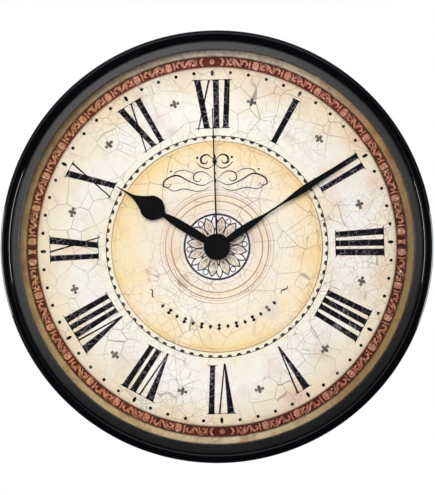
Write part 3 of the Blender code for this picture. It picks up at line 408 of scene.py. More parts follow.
# ------------------------------------------------------------------ stage
SENSOR_WIDTH = 36.0
CAMERA_LENS = 206.4
CAMERA_PLACE = (0.35 * MM, -2.0174, -0.52 * MM)
CAMERA_REACH = 50.0
# Softboxes that face the clock: name, place, width, height, power, seen in gloss
SOFTBOXES = (
    ("key", (-0.25, -1.90, 1.30), 2.4, 1.4, 15.0, True),
    ("left_fill", (-1.45, -1.90, 0.05), 1.2, 1.8, 6.5, True),
    ("right_fill", (1.45, -1.90, 0.35), 1.0, 1.6, 3.2, True),
    ("left_panel", (-2.0, -0.02, -0.15), 1.1, 1.0, 66.0, True),
    ("right_panel", (2.0, -0.02, -0.20), 1.1, 1.1, 84.0, True),
    ("front_fill", (-0.35, -2.20, 0.55), 1.0, 1.0, 38.0, False),
)
# The room's light goes from the front's strength to the rear's between two shares of Y
ROOM_Y = (0.05, 0.55)
ROOM_STRENGTH = (0.03, 0.70)
FLOOR_CORNERS = ((-3, -2.2, -0.45), (3, -2.2, -0.45), (3, 2.6, -0.45), (-3, 2.6, -0.45))
FLOOR_GLOW = 0.82

# Broken edges of the CAD nodes that are shown as they are, mm
BEVELS = {
    "hanger_plate": 0.2, "movement_front_plate": 0.25, "movement_housing": 0.45, "movement_nut": 0.3,
    "nut_washer": 0.1, "rubber_washer": 0.15, "circuit_board": 0.06, "quartz_crystal": 0.25,
    "driver_chip": 0.4, "battery_cell": 0.35, "stator": 0.06, "coil_bobbin": 0.2,
}
SMALL_BEVEL = 0.08
NODE_MERGE = 0.00001
NODE_BEVEL_ANGLE = 40


def srgb(red, green, blue):
    """Linear colour of an 8-bit sRGB one."""
    linear = []
    for channel in (red, green, blue):
        share = channel / 255
        linear.append(share / 12.92 if share <= 0.04045 else ((share + 0.055) / 1.055) ** 2.4)
    return (*linear, 1.0)


# ------------------------------------------------------------------ material helper
class Shader:
    """Builds one node material around a single Principled shader."""

    def __init__(self, name, colour, roughness, metallic=0.0):
        self.material = bpy.data.materials.new(name)
        self.material.use_nodes = True
        self.material.diffuse_color = colour
        self.tree = self.material.node_tree
        self.bsdf = self.tree.nodes["Principled BSDF"]
        self.set("Base Color", colour)
        self.set("Roughness", roughness)
        self.set("Metallic", metallic)
        self.coords = self.node("TexCoord", {}).outputs["Object"]

    def node(self, kind, inputs, **settings):
        """A node of a kind, with its settings made and its inputs fed by name or number."""
        made = self.tree.nodes.new("ShaderNode" + kind)
        for key, value in settings.items():
            setattr(made, key, value)
        for key, value in inputs.items():
            self.feed(made.inputs[key], value)
        return made

    def feed(self, socket, value):
        if isinstance(value, bpy.types.NodeSocket):
            self.tree.links.new(value, socket)
        else:
            socket.default_value = value

    def set(self, name, value):
        self.feed(self.bsdf.inputs[name], value)

    def maths(self, operation, *values):
        return self.node("Math", dict(enumerate(values)), operation=operation).outputs[0]

    def times(self, first, second):
        return self.maths("MULTIPLY", first, second)

    def between(self, value, low, high, out_low=0.0, out_high=1.0, curve="SMOOTHSTEP"):
        """The value's place between low and high, turned into out_low to out_high."""
        inputs = dict(enumerate((value, low, high, out_low, out_high)))
        return self.node("MapRange", inputs, interpolation_type=curve, clamp=True).outputs[0]

    def noise(self, scale, detail=3.0, roughness=0.5, vector=None, output="Fac"):
        inputs = {"Vector": vector or self.coords, "Scale": scale, "Detail": detail, "Roughness": roughness}
        return self.node("TexNoise", inputs).outputs[output]

    def cell_edges(self, scale, vector):
        inputs = {"Vector": vector, "Scale": scale}
        return self.node("TexVoronoi", inputs, feature="DISTANCE_TO_EDGE").outputs["Distance"]

    def ramp(self, value, stops, interpolation="LINEAR"):
        """Colours from (place, linear colour) stops."""
        made = self.node("ValToRGB", {"Fac": value})
        made.color_ramp.interpolation = interpolation
        elements = made.color_ramp.elements
        while len(elements) > 1:
            elements.remove(elements[0])
        elements[0].position = stops[0][0]
        elements[0].color = stops[0][1]
        for position, colour in stops[1:]:
            elements.new(position).color = colour
        return made.outputs["Color"]

    def hues_round(self, angle, hues):
        """Colours that run round the dial from 12, by the clockwise angle."""
        turned = self.maths("ADD", self.maths("DIVIDE", angle, 2 * math.pi), 1.0)
        return self.ramp(self.maths("FRACT", turned), [(share, srgb(*colour)) for share, colour in hues])

    def mix(self, share, first, second):
        return self.node("Mix", {0: share, 6: first, 7: second}, data_type="RGBA").outputs[2]

    def clouded(self, base, cloud, strength, colour):
        """A base with a colour laid over it where the cloud is."""
        return self.mix(self.times(cloud, strength), base, srgb(*colour))

    def vary_roughness(self, low, high, scale, detail=3.0, grain=0.5, spread=USUAL_NOISE):
        """Roughness that wanders between two values with a noise."""
        self.set("Roughness", self.between(self.noise(scale, detail, grain), *spread, low, high))

    def bump(self, height, distance, strength):
        made = self.node("Bump", {"Strength": strength, "Distance": distance, "Height": height})
        self.set("Normal", made.outputs["Normal"])

    def mapped(self, setting, value):
        """The coordinates with one setting of a Mapping node: Location, Rotation or Scale."""
        return self.node("Mapping", {"Vector": self.coords, setting: value}).outputs[0]

    def place(self, axis):
        """Place along the X, Y or Z axis."""
        return self.node("SeparateXYZ", {0: self.coords}).outputs[axis]

    def shifted(self, scale, amount):
        """The coordinates pushed about by noise, so that straight patterns wander."""
        noise = self.noise(scale, 2.0, output="Color")
        centred = self.node("VectorMath", {0: noise, 1: (0.5, 0.5, 0.5)}, operation="SUBTRACT")
        scaled = self.node("VectorMath", {0: centred.outputs[0], "Scale": amount}, operation="SCALE")
        added = self.node("VectorMath", {0: scaled.outputs[0], 1: self.coords}, operation="ADD")
        return added.outputs[0]

    def dial_radius(self):
        """Distance from the dial's centre, at the print's own scale."""
        x, z = self.place("X"), self.place("Z")
        squares = self.maths("ADD", self.times(x, x), self.times(z, z))
        return self.maths("DIVIDE", self.maths("SQRT", squares), PRINT_SCALE)

    def dial_angle(self):
        """Clockwise angle from 12, in radians."""
        return self.maths("ARCTAN2", self.place("X"), self.place("Z"))


# ------------------------------------------------------------------ materials
def gloss_black():
    """Injection-moulded black, polished, with a faint ripple and dust-fine scuffs."""
    m = Shader("bezel_gloss", srgb(5, 5, 8), 0.12)
    m.set("Specular IOR Level", 0.26)
    m.set("Base Color", m.mix(m.noise(60, 4.0), srgb(3, 3, 6), srgb(8, 8, 12)))
    m.vary_roughness(0.06, 0.12, 420, 4.0, 0.65, (0.35, 0.75))
    m.bump(m.noise(150, 2.0), 0.02 * MM, 0.35)
    return m.material


def satin_black():
    """Fine satin texture of the inner ring."""
    m = Shader("bezel_satin", srgb(28, 28, 29), 0.38)
    m.set("Specular IOR Level", 1.0)
    m.set("Base Color", m.mix(m.noise(45), srgb(25, 25, 26), srgb(32, 32, 33)))
    m.vary_roughness(0.35, 0.42, 900, 3.0, 0.6)
    m.bump(m.noise(2600, 2.0), 0.01 * MM, 0.4)
    return m.material


def lens_glass():
    m = Shader("lens_clear", (1.0, 1.0, 1.0, 1.0), 0.0)
    m.set("Transmission Weight", 1.0)
    m.set("IOR", 1.45)
    return m.material


def dial_print():
    """Antiqued paper with its printed rings and border, and plain card at the back."""
    m = Shader("dial_print", srgb(240, 228, 208), 0.62)
    m.set("Specular IOR Level", 0.2)
    radius = m.dial_radius()
    base = aged_paper(m, radius)
    fade = m.between(m.noise(20), 0.30, 0.62, 0.5, 1.0)
    for radius_mm, width_mm, strength, colour in PRINTED_RINGS:
        line = m.times(printed_ring(m, radius, radius_mm, width_mm), strength)
        base = m.mix(m.times(line, fade), base, srgb(*colour))
    base = border_ground(m, radius, base)
    base = m.mix(crackle(m), base, srgb(112, 84, 66))
    card = m.mix(m.noise(220, 4.0, 0.6), srgb(176, 166, 150), srgb(206, 198, 184))
    behind = m.between(m.place("Y"), *(DIAL_FACE_Y + depth for depth in CARD_START))
    m.set("Base Color", m.mix(behind, base, card))
    m.vary_roughness(0.50, 0.66, 90, 4.0)
    m.bump(m.noise(1400), 0.02 * MM, 0.15)
    return m.material


def aged_paper(m, radius):
    """Warm tints round the centre, clouds over them and soft stains."""
    wander = m.times(m.maths("SUBTRACT", m.noise(24), 0.5), 0.035)
    loose = m.maths("ADD", m.maths("DIVIDE", radius, DIAL_RADIUS), wander)
    base = m.ramp(loose, [(radius_mm * MM / DIAL_RADIUS, srgb(*colour)) for radius_mm, colour in PAPER_TINTS])
    for scale, detail, roughness, shift, low, high, strength, colour in PAPER_CLOUDS:
        cloud = m.noise(scale, detail, roughness, m.mapped("Location", shift))
        base = m.clouded(base, m.between(cloud, low, high), strength, colour)
    ragged = m.shifted(70, 0.012)
    for clock_angle, radius_mm, size_mm, colour, strength in STAINS:
        base = m.mix(stain(m, ragged, clock_angle, radius_mm, size_mm, strength), base, srgb(*colour))
    return base


def stain(m, ragged, clock_angle, radius_mm, size_mm, strength):
    """A soft blot with a ragged edge."""
    angle = math.radians(clock_angle)
    centre = (radius_mm * MM * math.sin(angle), DIAL_FACE_Y, radius_mm * MM * math.cos(angle))
    away = m.node("VectorMath", {0: ragged, 1: centre}, operation="DISTANCE")
    return m.between(away.outputs["Value"], 0.0, size_mm * MM, strength, 0.0)


def printed_ring(m, radius, radius_mm, half_width_mm):
    away = m.maths("ABSOLUTE", m.maths("SUBTRACT", radius, radius_mm * MM))
    return m.between(away, 0.0, half_width_mm * MM, 1.0, 0.0)


def border_ground(m, radius, base):
    """The red-brown band under the scrolls, the tan edge outside it and the dark lines beside both."""
    angle = m.dial_angle()
    base = m.mix(m.between(radius, *BAND_START), base, band_colour(m, angle))
    base = m.mix(m.between(radius, *EDGE_START), base, edge_colour_with_painted_light(m, angle))
    ragged = m.between(m.noise(160), 0.34, 0.60, 0.55, 1.0)
    for radius_mm, width_mm, strength in BORDER_LINES:
        line = m.times(printed_ring(m, radius, radius_mm, width_mm), strength)
        base = m.mix(m.times(line, ragged), base, srgb(62, 28, 18))
    return base


def band_colour(m, angle):
    """Ground of the scroll band: rose at the top, darker brown at the right, rust at the left."""
    mottle = m.between(m.noise(260, 4.0, 0.6), 0.35, 0.70)
    return m.clouded(m.hues_round(angle, BAND_HUES), mottle, 0.6, (44, 14, 8))


def edge_colour_with_painted_light(m, angle):
    """Tan edge outside the band: pale at 12 and 6, golden brown at 3 and 9, with rust blots; the pale top is
    painted light, lighter than the print, to make up for the bezel's shadow.
    """
    clouds = m.between(m.noise(120, 5.0, 0.7), 0.42, 0.66)
    base = m.clouded(m.hues_round(angle, EDGE_HUES_WITH_PAINTED_LIGHT), clouds, 0.4, (112, 84, 52))
    base = m.clouded(base, m.between(m.noise(34, 4.0, 0.6), 0.56, 0.72), 0.6, (128, 58, 40))
    around = m.node("CombineXYZ", {"X": m.times(angle, 40.0)}).outputs[0]
    streaks = m.between(m.noise(1.0, 5.0, 0.7, around), 0.52, 0.74)
    return m.clouded(base, streaks, 0.55, (96, 66, 40))


def crackle(m):
    """Two nets of cracks, a wide one all over and a fine one in patches."""
    wide = m.between(m.cell_edges(66, m.shifted(40, 0.004)), 0.0, 0.020, 1.0, 0.0)
    wide = m.times(wide, m.between(m.noise(26), 0.38, 0.64, 0.12, 0.75))
    fine = m.between(m.cell_edges(150, m.shifted(80, 0.003)), 0.0, 0.030, 1.0, 0.0)
    fine = m.times(fine, m.between(m.noise(14, 2.0), 0.44, 0.60, 0.02, 0.52))
    return m.maths("MAXIMUM", wide, fine)


def printed_ink():
    """Nearly black ink, rubbed through along fine scratches."""
    m = Shader("dial_ink", srgb(8, 7, 12), 0.55)
    m.set("Specular IOR Level", 0.12)
    scratch = m.between(m.cell_edges(150, m.shifted(120, 0.008)), 0.0, 0.042, 1.0, 0.0)
    scratch = m.times(scratch, m.between(m.noise(40), 0.40, 0.60, 0.08, 0.75))
    speck = m.times(m.between(m.noise(500), 0.60, 0.70), 0.5)
    m.set("Base Color", m.mix(m.maths("MAXIMUM", scratch, speck), srgb(7, 6, 11), srgb(150, 140, 146)))
    m.vary_roughness(0.48, 0.62, 300, 2.0)
    return m.material


def tinted_ink(name, dark, light, scale):
    """Brown or grey print that varies in strength."""
    m = Shader(name, srgb(*dark), 0.6)
    m.set("Base Color", m.mix(m.between(m.noise(scale, 4.0, 0.6), 0.32, 0.72), srgb(*dark), srgb(*light)))
    m.vary_roughness(0.52, 0.66, 200, 2.0)
    return m.material


def scroll_ink(name, lift):
    """Light scrollwork of the border, following the band's change of hue round the dial."""
    m = Shader(name, srgb(190, 140, 116), 0.6)
    base = m.mix(lift, m.hues_round(m.dial_angle(), SCROLL_HUES), srgb(238, 214, 188))
    base = m.clouded(base, m.between(m.noise(420, 4.0, 0.65), 0.42, 0.66), 0.75, (98, 40, 22))
    glints = m.between(m.noise(640, 3.0, 0.6), 0.56, 0.70)
    m.set("Base Color", m.clouded(base, glints, 0.75, (246, 226, 204)))
    return m.material


def hand_paint():
    """Satin black paint on thin stamped aluminium."""
    m = Shader("hand_black", srgb(6, 6, 7), 0.3)
    m.set("Specular IOR Level", 0.16)
    m.set("Base Color", m.mix(m.noise(80), srgb(1, 1, 2), srgb(5, 5, 6)))
    m.vary_roughness(0.30, 0.38, 400, 3.0, 0.6)
    return m.material


def moulded_plastic(name, dark, light, roughness, grain, depth):
    """Spark-eroded mould texture with slight colour variation."""
    m = Shader(name, srgb(*dark), roughness[0])
    m.set("Base Color", m.mix(m.noise(30, 4.0), srgb(*dark), srgb(*light)))
    m.vary_roughness(*roughness, 140, 4.0)
    m.bump(m.noise(grain, 2.0, 0.6), depth * MM, 0.5)
    return m.material


def brushed_metal(name, dark, light, roughness):
    """Plated or rolled metal with drawn grain."""
    m = Shader(name, srgb(*dark), roughness[0], 1.0)
    grain = m.noise(1.0, 4.0, 0.6, m.mapped("Scale", METAL_GRAIN))
    m.set("Base Color", m.mix(m.noise(120, 4.0), srgb(*dark), srgb(*light)))
    m.set("Roughness", m.between(grain, *USUAL_NOISE, *roughness))
    m.bump(grain, 0.01 * MM, 0.3)
    return m.material


def wound_copper():
    """Enamelled wire in close turns round the coil, which lies along X, with painted shade between the turns
    and painted light on their tops.
    """
    m = Shader("coil_copper", srgb(190, 100, 52), 0.32, 0.9)
    inputs = {"Vector": m.coords, "Scale": 1200, "Distortion": 0.4}
    wave = m.node("TexWave", inputs, wave_type="BANDS", bands_direction="X").outputs["Fac"]
    # Painted shade and light: the dark bands sit in the grooves between turns and the light bands on their
    # tops, following the same wave as the bump
    m.set("Base Color", m.mix(wave, srgb(126, 58, 26), srgb(214, 124, 70)))
    m.vary_roughness(0.28, 0.42, 300)
    m.bump(wave, 0.05 * MM, 0.7)
    return m.material


def circuit_green():
    """Solder mask over thin copper tracks, drawn in the plane of the dial."""
    m = Shader("board_green", srgb(22, 84, 46), 0.35)
    inputs = {"Vector": m.mapped("Rotation", (-math.pi / 2, 0.0, 0.0)), "Scale": 420, "Mortar Size": 0.09,
              "Color1": srgb(18, 78, 42), "Color2": srgb(26, 92, 52), "Mortar": srgb(66, 132, 74)}
    m.set("Base Color", m.node("TexBrick", inputs).outputs["Color"])
    m.vary_roughness(0.30, 0.42, 200)
    return m.material


def cell_wrap():
    """Battery sleeve: black with a copper band at the positive end, by place along X."""
    m = Shader("cell_wrap", srgb(24, 24, 26), 0.3)
    low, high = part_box("battery_cell")
    along = m.between(m.place("X"), low.x, high.x, curve="LINEAR")
    bands = m.ramp(along, [(share, srgb(*colour)) for share, colour in CELL_BANDS], "CONSTANT")
    metal = m.ramp(along, [(share, (grey, grey, grey, 1)) for share, grey in CELL_METAL], "CONSTANT")
    m.set("Base Color", m.clouded(bands, m.noise(200), 0.12, (110, 96, 80)))
    m.set("Metallic", metal)
    m.vary_roughness(0.24, 0.38, 260, 4.0)
    return m.material


def make_materials():
    """All materials by the record's slot names, and the dial's inks."""
    made = {
        "bezel_gloss": gloss_black(), "bezel_satin": satin_black(), "lens_clear": lens_glass(),
        "dial_print": dial_print(), "dial_ink": printed_ink(), "hand_black": hand_paint(),
        "coil_copper": wound_copper(), "board_green": circuit_green(), "cell_wrap": cell_wrap(),
    }
    families = ((scroll_ink, SCROLL_INKS), (tinted_ink, INKS), (moulded_plastic, PLASTICS),
                (brushed_metal, METALS))
    for make, rows in families:
        for row in rows:
            made[row[0]] = make(*row)
    return made


# ------------------------------------------------------------------ turned pieces
def rounded_corner(before, corner, after, radius, steps=3):
    """Points that round one corner of a profile, and one on each side that keeps the flats flat."""
    here = Vector(corner)
    back = Vector(before) - here
    ahead = Vector(after) - here
    reach = min(radius, back.length * CORNER_REACH, ahead.length * CORNER_REACH)
    start = here + back.normalized() * reach
    end = here + ahead.normalized() * reach
    points = [tuple(here + back.normalized() * reach * FLAT_GUARD)]
    for index in range(steps + 1):
        t = index / steps
        points.append(tuple(start * (1 - t) ** 2 + here * 2 * t * (1 - t) + end * t ** 2))
    return points + [tuple(here + ahead.normalized() * reach * FLAT_GUARD)]


def rounded_profile(corners, radius):
    """A closed profile of (radius, depth, corner share) with its corners rounded."""
    points = []
    for index, (r, depth, share) in enumerate(corners):
        if share == 0:
            points.append((r, depth))
            continue
        before = corners[index - 1][:2]
        after = corners[(index + 1) % len(corners)][:2]
        points += rounded_corner(before, (r, depth), after, radius * share)
    return points


def profile_from_mm(corners, radius):
    """The same from a table in mm; the radius is in metres."""
    return rounded_profile([(r * MM, depth * MM, share) for r, depth, share in corners], radius)


def turned_mesh(name, profile, steps=TURN_STEPS, centre=(0.0, 0.0)):
    """A closed profile of (radius, depth) turned about an axis along Y."""
    vertices, faces = [], []
    count = len(profile)
    for step in range(steps):
        angle = 2 * math.pi * step / steps
        for r, depth in profile:
            vertices.append((centre[0] + r * math.sin(angle), -depth, centre[1] + r * math.cos(angle)))
    for step in range(steps):
        here, there = step * count, (step + 1) % steps * count
        for index in range(count):
            nearby = (index + 1) % count
            faces.append((here + index, here + nearby, there + nearby, there + index))
    mesh = bpy.data.meshes.new(name)
    mesh.from_pydata(vertices, [], faces)
    weld(mesh)
    return mesh


def weld(mesh):
    """Join double points, face everything outwards and shade smooth between sharp edges."""
    work = bmesh.new()
    work.from_mesh(mesh)
    bmesh.ops.remove_doubles(work, verts=work.verts, dist=MERGE_DISTANCE)
    bmesh.ops.dissolve_degenerate(work, edges=work.edges, dist=MERGE_DISTANCE)
    bmesh.ops.recalc_face_normals(work, faces=work.faces)
    work.to_mesh(mesh)
    work.free()
    shade_smooth(mesh)
    mesh.update()


def shade_smooth(mesh):
    for polygon in mesh.polygons:
        polygon.use_smooth = True
    mesh.set_sharp_from_angle(angle=SHARP_ANGLE)


def add_piece(name, mesh, body, slot, replaced=(), material=None):
    """Put a mesh in the scene on its body; its material is its slot's, unless one is named."""
    piece = bpy.data.objects.new(name, mesh)
    bpy.context.scene.collection.objects.link(piece)
    mesh.materials.append(MATERIALS[material or slot])
    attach(piece, body)
    if replaced:
        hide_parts(*replaced)
    return piece


def bead_profile():
    """Cushion-shaped outer moulding: nearly flat on top, with tight round shoulders."""
    points = []
    for step in range(BEAD_STEPS + 1):
        turn = math.pi * (BEAD_START - BEAD_SWEEP * step / BEAD_STEPS)
        across, up = math.cos(turn), math.sin(turn)
        points.append((BEAD_CENTRE_R + BEAD_HALF * math.copysign(abs(across) ** BEAD_SQUARENESS, across),
                       BEAD_CENTRE_Z + BEAD_HALF * math.copysign(abs(up) ** BEAD_SQUARENESS, up)))
    return points


def screw_centres():
    """(x, up) of the screws that hold the rear case to the bezel."""
    centres = []
    for index in range(SCREW_COUNT):
        angle = math.radians(FIRST_SCREW_ANGLE + 360 / SCREW_COUNT * index)
        centres.append((SCREW_RING_R * math.cos(angle), SCREW_RING_R * math.sin(angle)))
    return centres


def bezel_pieces():
    """Polished outer moulding, the satin ring that slopes from it to the sight edge, and the bosses."""
    body = profile_from_mm(BEZEL_CORNERS, BEZEL_ROUNDING)
    mesh = turned_mesh("bezel_body", bead_profile() + body)
    add_piece("bezel_body", mesh, "case", "bezel_gloss", ["front_bezel"])
    mesh.materials.append(MATERIALS["bezel_satin"])
    for polygon in mesh.polygons:
        r = math.hypot(polygon.center.x, polygon.center.z)
        if r < SATIN_OUTER_R and -polygon.center.y > SATIN_REAR_Z:
            polygon.material_index = 1
    boss = profile_from_mm(BOSS_CORNERS, BOSS_ROUNDING)
    for index, centre in enumerate(screw_centres()):
        name = "bezel_boss_%d" % (index + 1)
        add_piece(name, turned_mesh(name, boss, BOSS_STEPS, centre), "case", "bezel_gloss")


def lens_piece():
    """Clear disc that throws no shadow on the dial."""
    front, rear = -LENS_LOW.y, -LENS_HIGH.y
    profile = rounded_profile([
        (0.0, front, 0), (LENS_RADIUS, front, 1), (LENS_RADIUS, rear, 1), (0.0, rear, 0)], LENS_ROUNDING)
    piece = add_piece("lens_pane", turned_mesh("lens_pane", profile), "case", "lens_clear", ["lens"])
    piece.visible_shadow = False
    piece.visible_diffuse = False


def flat_ring(name, slot, replaced, inner, outer, low, high, rounding):
    """A ring with a square section and broken corners between two Y places."""
    profile = rounded_profile([
        (inner, -low, 1), (outer, -low, 1), (outer, -high, 1), (inner, -high, 1)], rounding)
    add_piece(name, turned_mesh(name, profile), "case", slot, [replaced])


def cut_shape(piece, shape):
    """Take a solid shape out of a piece, for good."""
    cutter = bpy.data.objects.new("cutter", shape)
    bpy.context.scene.collection.objects.link(cutter)
    modifier = piece.modifiers.new("cut", "BOOLEAN")
    modifier.operation = "DIFFERENCE"
    modifier.solver = "EXACT"
    modifier.object = cutter
    bpy.context.view_layer.update()
    evaluated = piece.evaluated_get(bpy.context.evaluated_depsgraph_get())
    result = bpy.data.meshes.new_from_object(evaluated)
    piece.modifiers.remove(modifier)
    piece.data = result
    bpy.data.objects.remove(cutter)


def extruded(name, outlines, front, rear):
    """Solids between two depths, one for each outline of (x, up)."""
    vertices, faces = [], []
    for outline in outlines:
        first, count = len(vertices), len(outline)
        for depth in (front, rear):
            vertices += [(x, -depth, z) for x, z in outline]
        faces.append(tuple(range(first, first + count)))
        faces.append(tuple(range(first + 2 * count - 1, first + count - 1, -1)))
        for index in range(count):
            after = (index + 1) % count
            faces.append((first + index, first + count + index, first + count + after, first + after))
    mesh = bpy.data.meshes.new(name)
    mesh.from_pydata(vertices, [], faces)
    return mesh


def prism(name, outline, front, rear):
    mesh = extruded(name, [outline], front, rear)
    weld(mesh)
    return mesh


def circle_outline(radius, sides, centre=(0.0, 0.0)):
    return [(centre[0] + radius * math.sin(2 * math.pi * index / sides),
             centre[1] + radius * math.cos(2 * math.pi * index / sides)) for index in range(sides)]


def rear_case_piece():
    """Moulded back with its standing rim, clamp wall, nail window and screw holes."""
    mesh = turned_mesh("rear_case_shell", profile_from_mm(REAR_CASE_CORNERS, REAR_CASE_ROUNDING))
    piece = add_piece("rear_case_shell", mesh, "case", "case_black", ["rear_case"])
    window = [(x * MM, z * MM) for x, z in NAIL_WINDOW]
    cut_shape(piece, prism("window", window, *HANGER_CUT_Z))
    for x in (-HANGER_SCREW_X, HANGER_SCREW_X):
        hole = circle_outline(SCREW_HOLE_R, HOLE_SIDES, (x, HANGER_SCREW_UP))
        cut_shape(piece, prism("hanger_hole", hole, *HANGER_CUT_Z))
    for centre in screw_centres():
        cut_shape(piece, prism("case_hole", circle_outline(SCREW_HOLE_R, HOLE_SIDES, centre), *SCREW_HOLE_Z))
    shade_smooth(piece.data)


# ------------------------------------------------------------------ making the hands
def smooth_line(points, steps):
    """A smooth curve drawn through the given points."""
    smooth = []
    for index in range(len(points) - 1):
        a, b = points[max(index - 1, 0)], points[index]
        c, d = points[index + 1], points[min(index + 2, len(points) - 1)]
        for step in range(steps):
            t = step / steps
            smooth.append(tuple(0.5 * (2 * b[k] + (c[k] - a[k]) * t
                                       + (2 * a[k] - 5 * b[k] + 4 * c[k] - d[k]) * t * t
                                       + (3 * b[k] - a[k] - 3 * c[k] + d[k]) * t ** 3) for k in (0, 1)))
    return smooth + [points[-1]]


def hand_outline(hub_radius, blade, clock_angle):
    """Hub circle and blade as one outline, turned to its place on the dial."""
    sides = [(distance * MM, max(half, BLADE_THINNEST) * MM)
             for distance, half in smooth_line(blade, BLADE_STEPS)]
    half = sides[0][1]
    lean = math.asin(half / hub_radius)
    outline = []
    for step in range(HUB_SIDES + 1):
        angle = lean + (2 * math.pi - 2 * lean) * step / HUB_SIDES
        outline.append((hub_radius * math.sin(angle), hub_radius * math.cos(angle)))
    outline += [(-half, distance) for distance, half in sides[1:]]
    outline += [(half, distance) for distance, half in reversed(sides[1:])]
    turn = math.radians(clock_angle)
    return [(x * math.cos(turn) + z * math.sin(turn), z * math.cos(turn) - x * math.sin(turn))
            for x, z in outline]


def break_edges(piece, width, degrees):
    """Round the edges that are sharper than an angle; the width is in mm."""
    bevel = piece.modifiers.new("edges", "BEVEL")
    bevel.width = width * MM
    bevel.segments = 2
    bevel.limit_method = "ANGLE"
    bevel.angle_limit = math.radians(degrees)


def hands():
    for name, body, replaced, hub_radius, blade, clock_angle, front, rear, bore in HANDS:
        mesh = prism(name, hand_outline(hub_radius * MM, blade, clock_angle), front * MM, rear * MM)
        piece = add_piece(name, mesh, body, "hand_black", [replaced])
        if bore:
            hole = circle_outline(bore * MM, BORE_SIDES)
            cut_shape(piece, prism("bore", hole, front * MM + MM, rear * MM - MM))
        break_edges(piece, HAND_BEVEL, HAND_BEVEL_ANGLE)
    cap = turned_mesh("second_cap", profile_from_mm(CAP_CORNERS, CAP_ROUNDING), CAP_STEPS)
    add_piece("second_cap", cap, "second", "hand_black")


# ------------------------------------------------------------------ printed shapes on the dial
def on_dial(radius, clock_angle, x=0.0, y=0.0):
    """A point of the print: x clockwise and y outwards from a place on the dial."""
    angle = math.radians(clock_angle + PRINT_TURN)
    reach = radius + y
    return (reach * math.sin(angle) + x * math.cos(angle), reach * math.cos(angle) - x * math.sin(angle))


def placed(shape, clock_angle=0.0, radius=0.0):
    """A shape in mm put at a place on the dial."""
    return [on_dial(radius, clock_angle, x * MM, y * MM) for x, y in shape]


def print_layer(name, outlines, ink, level=0):
    """Flat shapes of ink standing a hair above the sheet; higher levels lie over lower ones."""
    scaled = [[(x * PRINT_SCALE, z * PRINT_SCALE) for x, z in outline] for outline in outlines]
    front = -DIAL_FACE_Y + (INK_HEIGHT + INK_LEVEL * level) * MM
    mesh = extruded(name, scaled, front, -DIAL_FACE_Y - INK_SINK * MM)
    work = bmesh.new()
    work.from_mesh(mesh)
    bmesh.ops.recalc_face_normals(work, faces=work.faces)
    work.to_mesh(mesh)
    work.free()
    add_piece(name, mesh, "case", "dial_print", material=ink)


def ribbon(points, widths):
    """Outline of a stroke of changing width along a line of points."""
    left, right = [], []
    count = len(points)
    for index, (x, y) in enumerate(points):
        before = points[max(index - 1, 0)]
        after = points[min(index + 1, count - 1)]
        along = Vector((after[0] - before[0], after[1] - before[1])).normalized()
        half = widths[index] / 2
        left.append((x - along.y * half, y + along.x * half))
        right.append((x + along.y * half, y - along.x * half))
    return left + right[::-1]


def spiral_stroke(centre, start_degrees, turn_degrees, start_radius, end_radius, widths, steps=14):
    """Points and widths of a spiral; the angle is anticlockwise from +x in the local frame."""
    points, sizes = [], []
    for step in range(steps + 1):
        t = step / steps
        angle = math.radians(start_degrees + turn_degrees * t)
        radius = start_radius + (end_radius - start_radius) * t
        points.append((centre[0] + radius * math.cos(angle), centre[1] + radius * math.sin(angle)))
        sizes.append(widths[0] + (widths[1] - widths[0]) * t)
    return points, sizes


def ring_outlines(radius, width, pieces=24, steps=8):
    """A thin ring as short curved pieces."""
    outlines = []
    for piece in range(pieces):
        start = 360 * piece / pieces
        angles = [start + 360 / pieces * step / steps for step in range(steps + 1)]
        outer = [on_dial(radius + width / 2, angle) for angle in angles]
        inner = [on_dial(radius - width / 2, angle) for angle in reversed(angles)]
        outlines.append(outer + inner)
    return outlines


def numeral_stroke(head_left, head_right, foot_left, foot_right, height):
    """One stroke in mm, with brackets where it meets the hairlines, or a point at its foot."""
    hl, hr, fl, fr = (value * MM for value in (head_left, head_right, foot_left, foot_right))
    bracket = THICK_FLARE if head_right - head_left > THICK_STROKE else THIN_FLARE
    outline = [(hl - bracket, height), (hr + bracket, height)]
    for share in BRACKET_HEIGHTS:
        outline.append((hr + (fr - hr) * (1 - share), height * share))
    if foot_right - foot_left < POINTED_FOOT:
        outline += [(fr, -POINT_DROP), (fl, -POINT_DROP)]
    else:
        near_foot = BRACKET_HEIGHTS[0]
        outline += [(hr + (fr - hr) * near_foot, height * (1 - near_foot)), (fr + bracket, 0.0),
                    (fl - bracket, 0.0), (hl + (fl - hl) * near_foot, height * (1 - near_foot))]
    for share in reversed(BRACKET_HEIGHTS):
        outline.append((hl + (fl - hl) * (1 - share), height * share))
    return outline


def serif_lines(strokes, height):
    """(height, left, right) of the hairlines of a numeral."""
    lines = [(height - HAIRLINE / 2, min(s[0] for s in strokes) * MM - SERIF_REACH,
              max(s[1] for s in strokes) * MM + SERIF_REACH)]
    standing = [s for s in strokes if s[3] - s[2] > POINTED_FOOT
                or s[1] - s[0] < THIN_STROKE and abs(s[0] - s[2]) > LEANING_STROKE]
    if standing:
        lines.append((-HAIRLINE / 2, min(s[2] for s in standing) * MM - SERIF_REACH,
                      max(s[3] for s in standing) * MM + SERIF_REACH))
    return lines


def numerals():
    """Twelve numerals: strokes between hairline serifs at the head and the foot."""
    height = NUMERAL_HEAD_R - NUMERAL_FOOT_R
    outlines = []
    for hour, strokes in enumerate(NUMERALS):
        shapes = [numeral_stroke(*stroke, height) for stroke in strokes]
        for level, left, right in serif_lines(strokes, height):
            top = level + HAIRLINE
            shapes.append([(left, level), (right, level), (right, top), (left, top)])
        for shape in shapes:
            outlines.append([on_dial(NUMERAL_FOOT_R, 30.0 * hour, x, y) for x, y in shape])
    print_layer("dial_numerals", outlines, "dial_ink", 1)


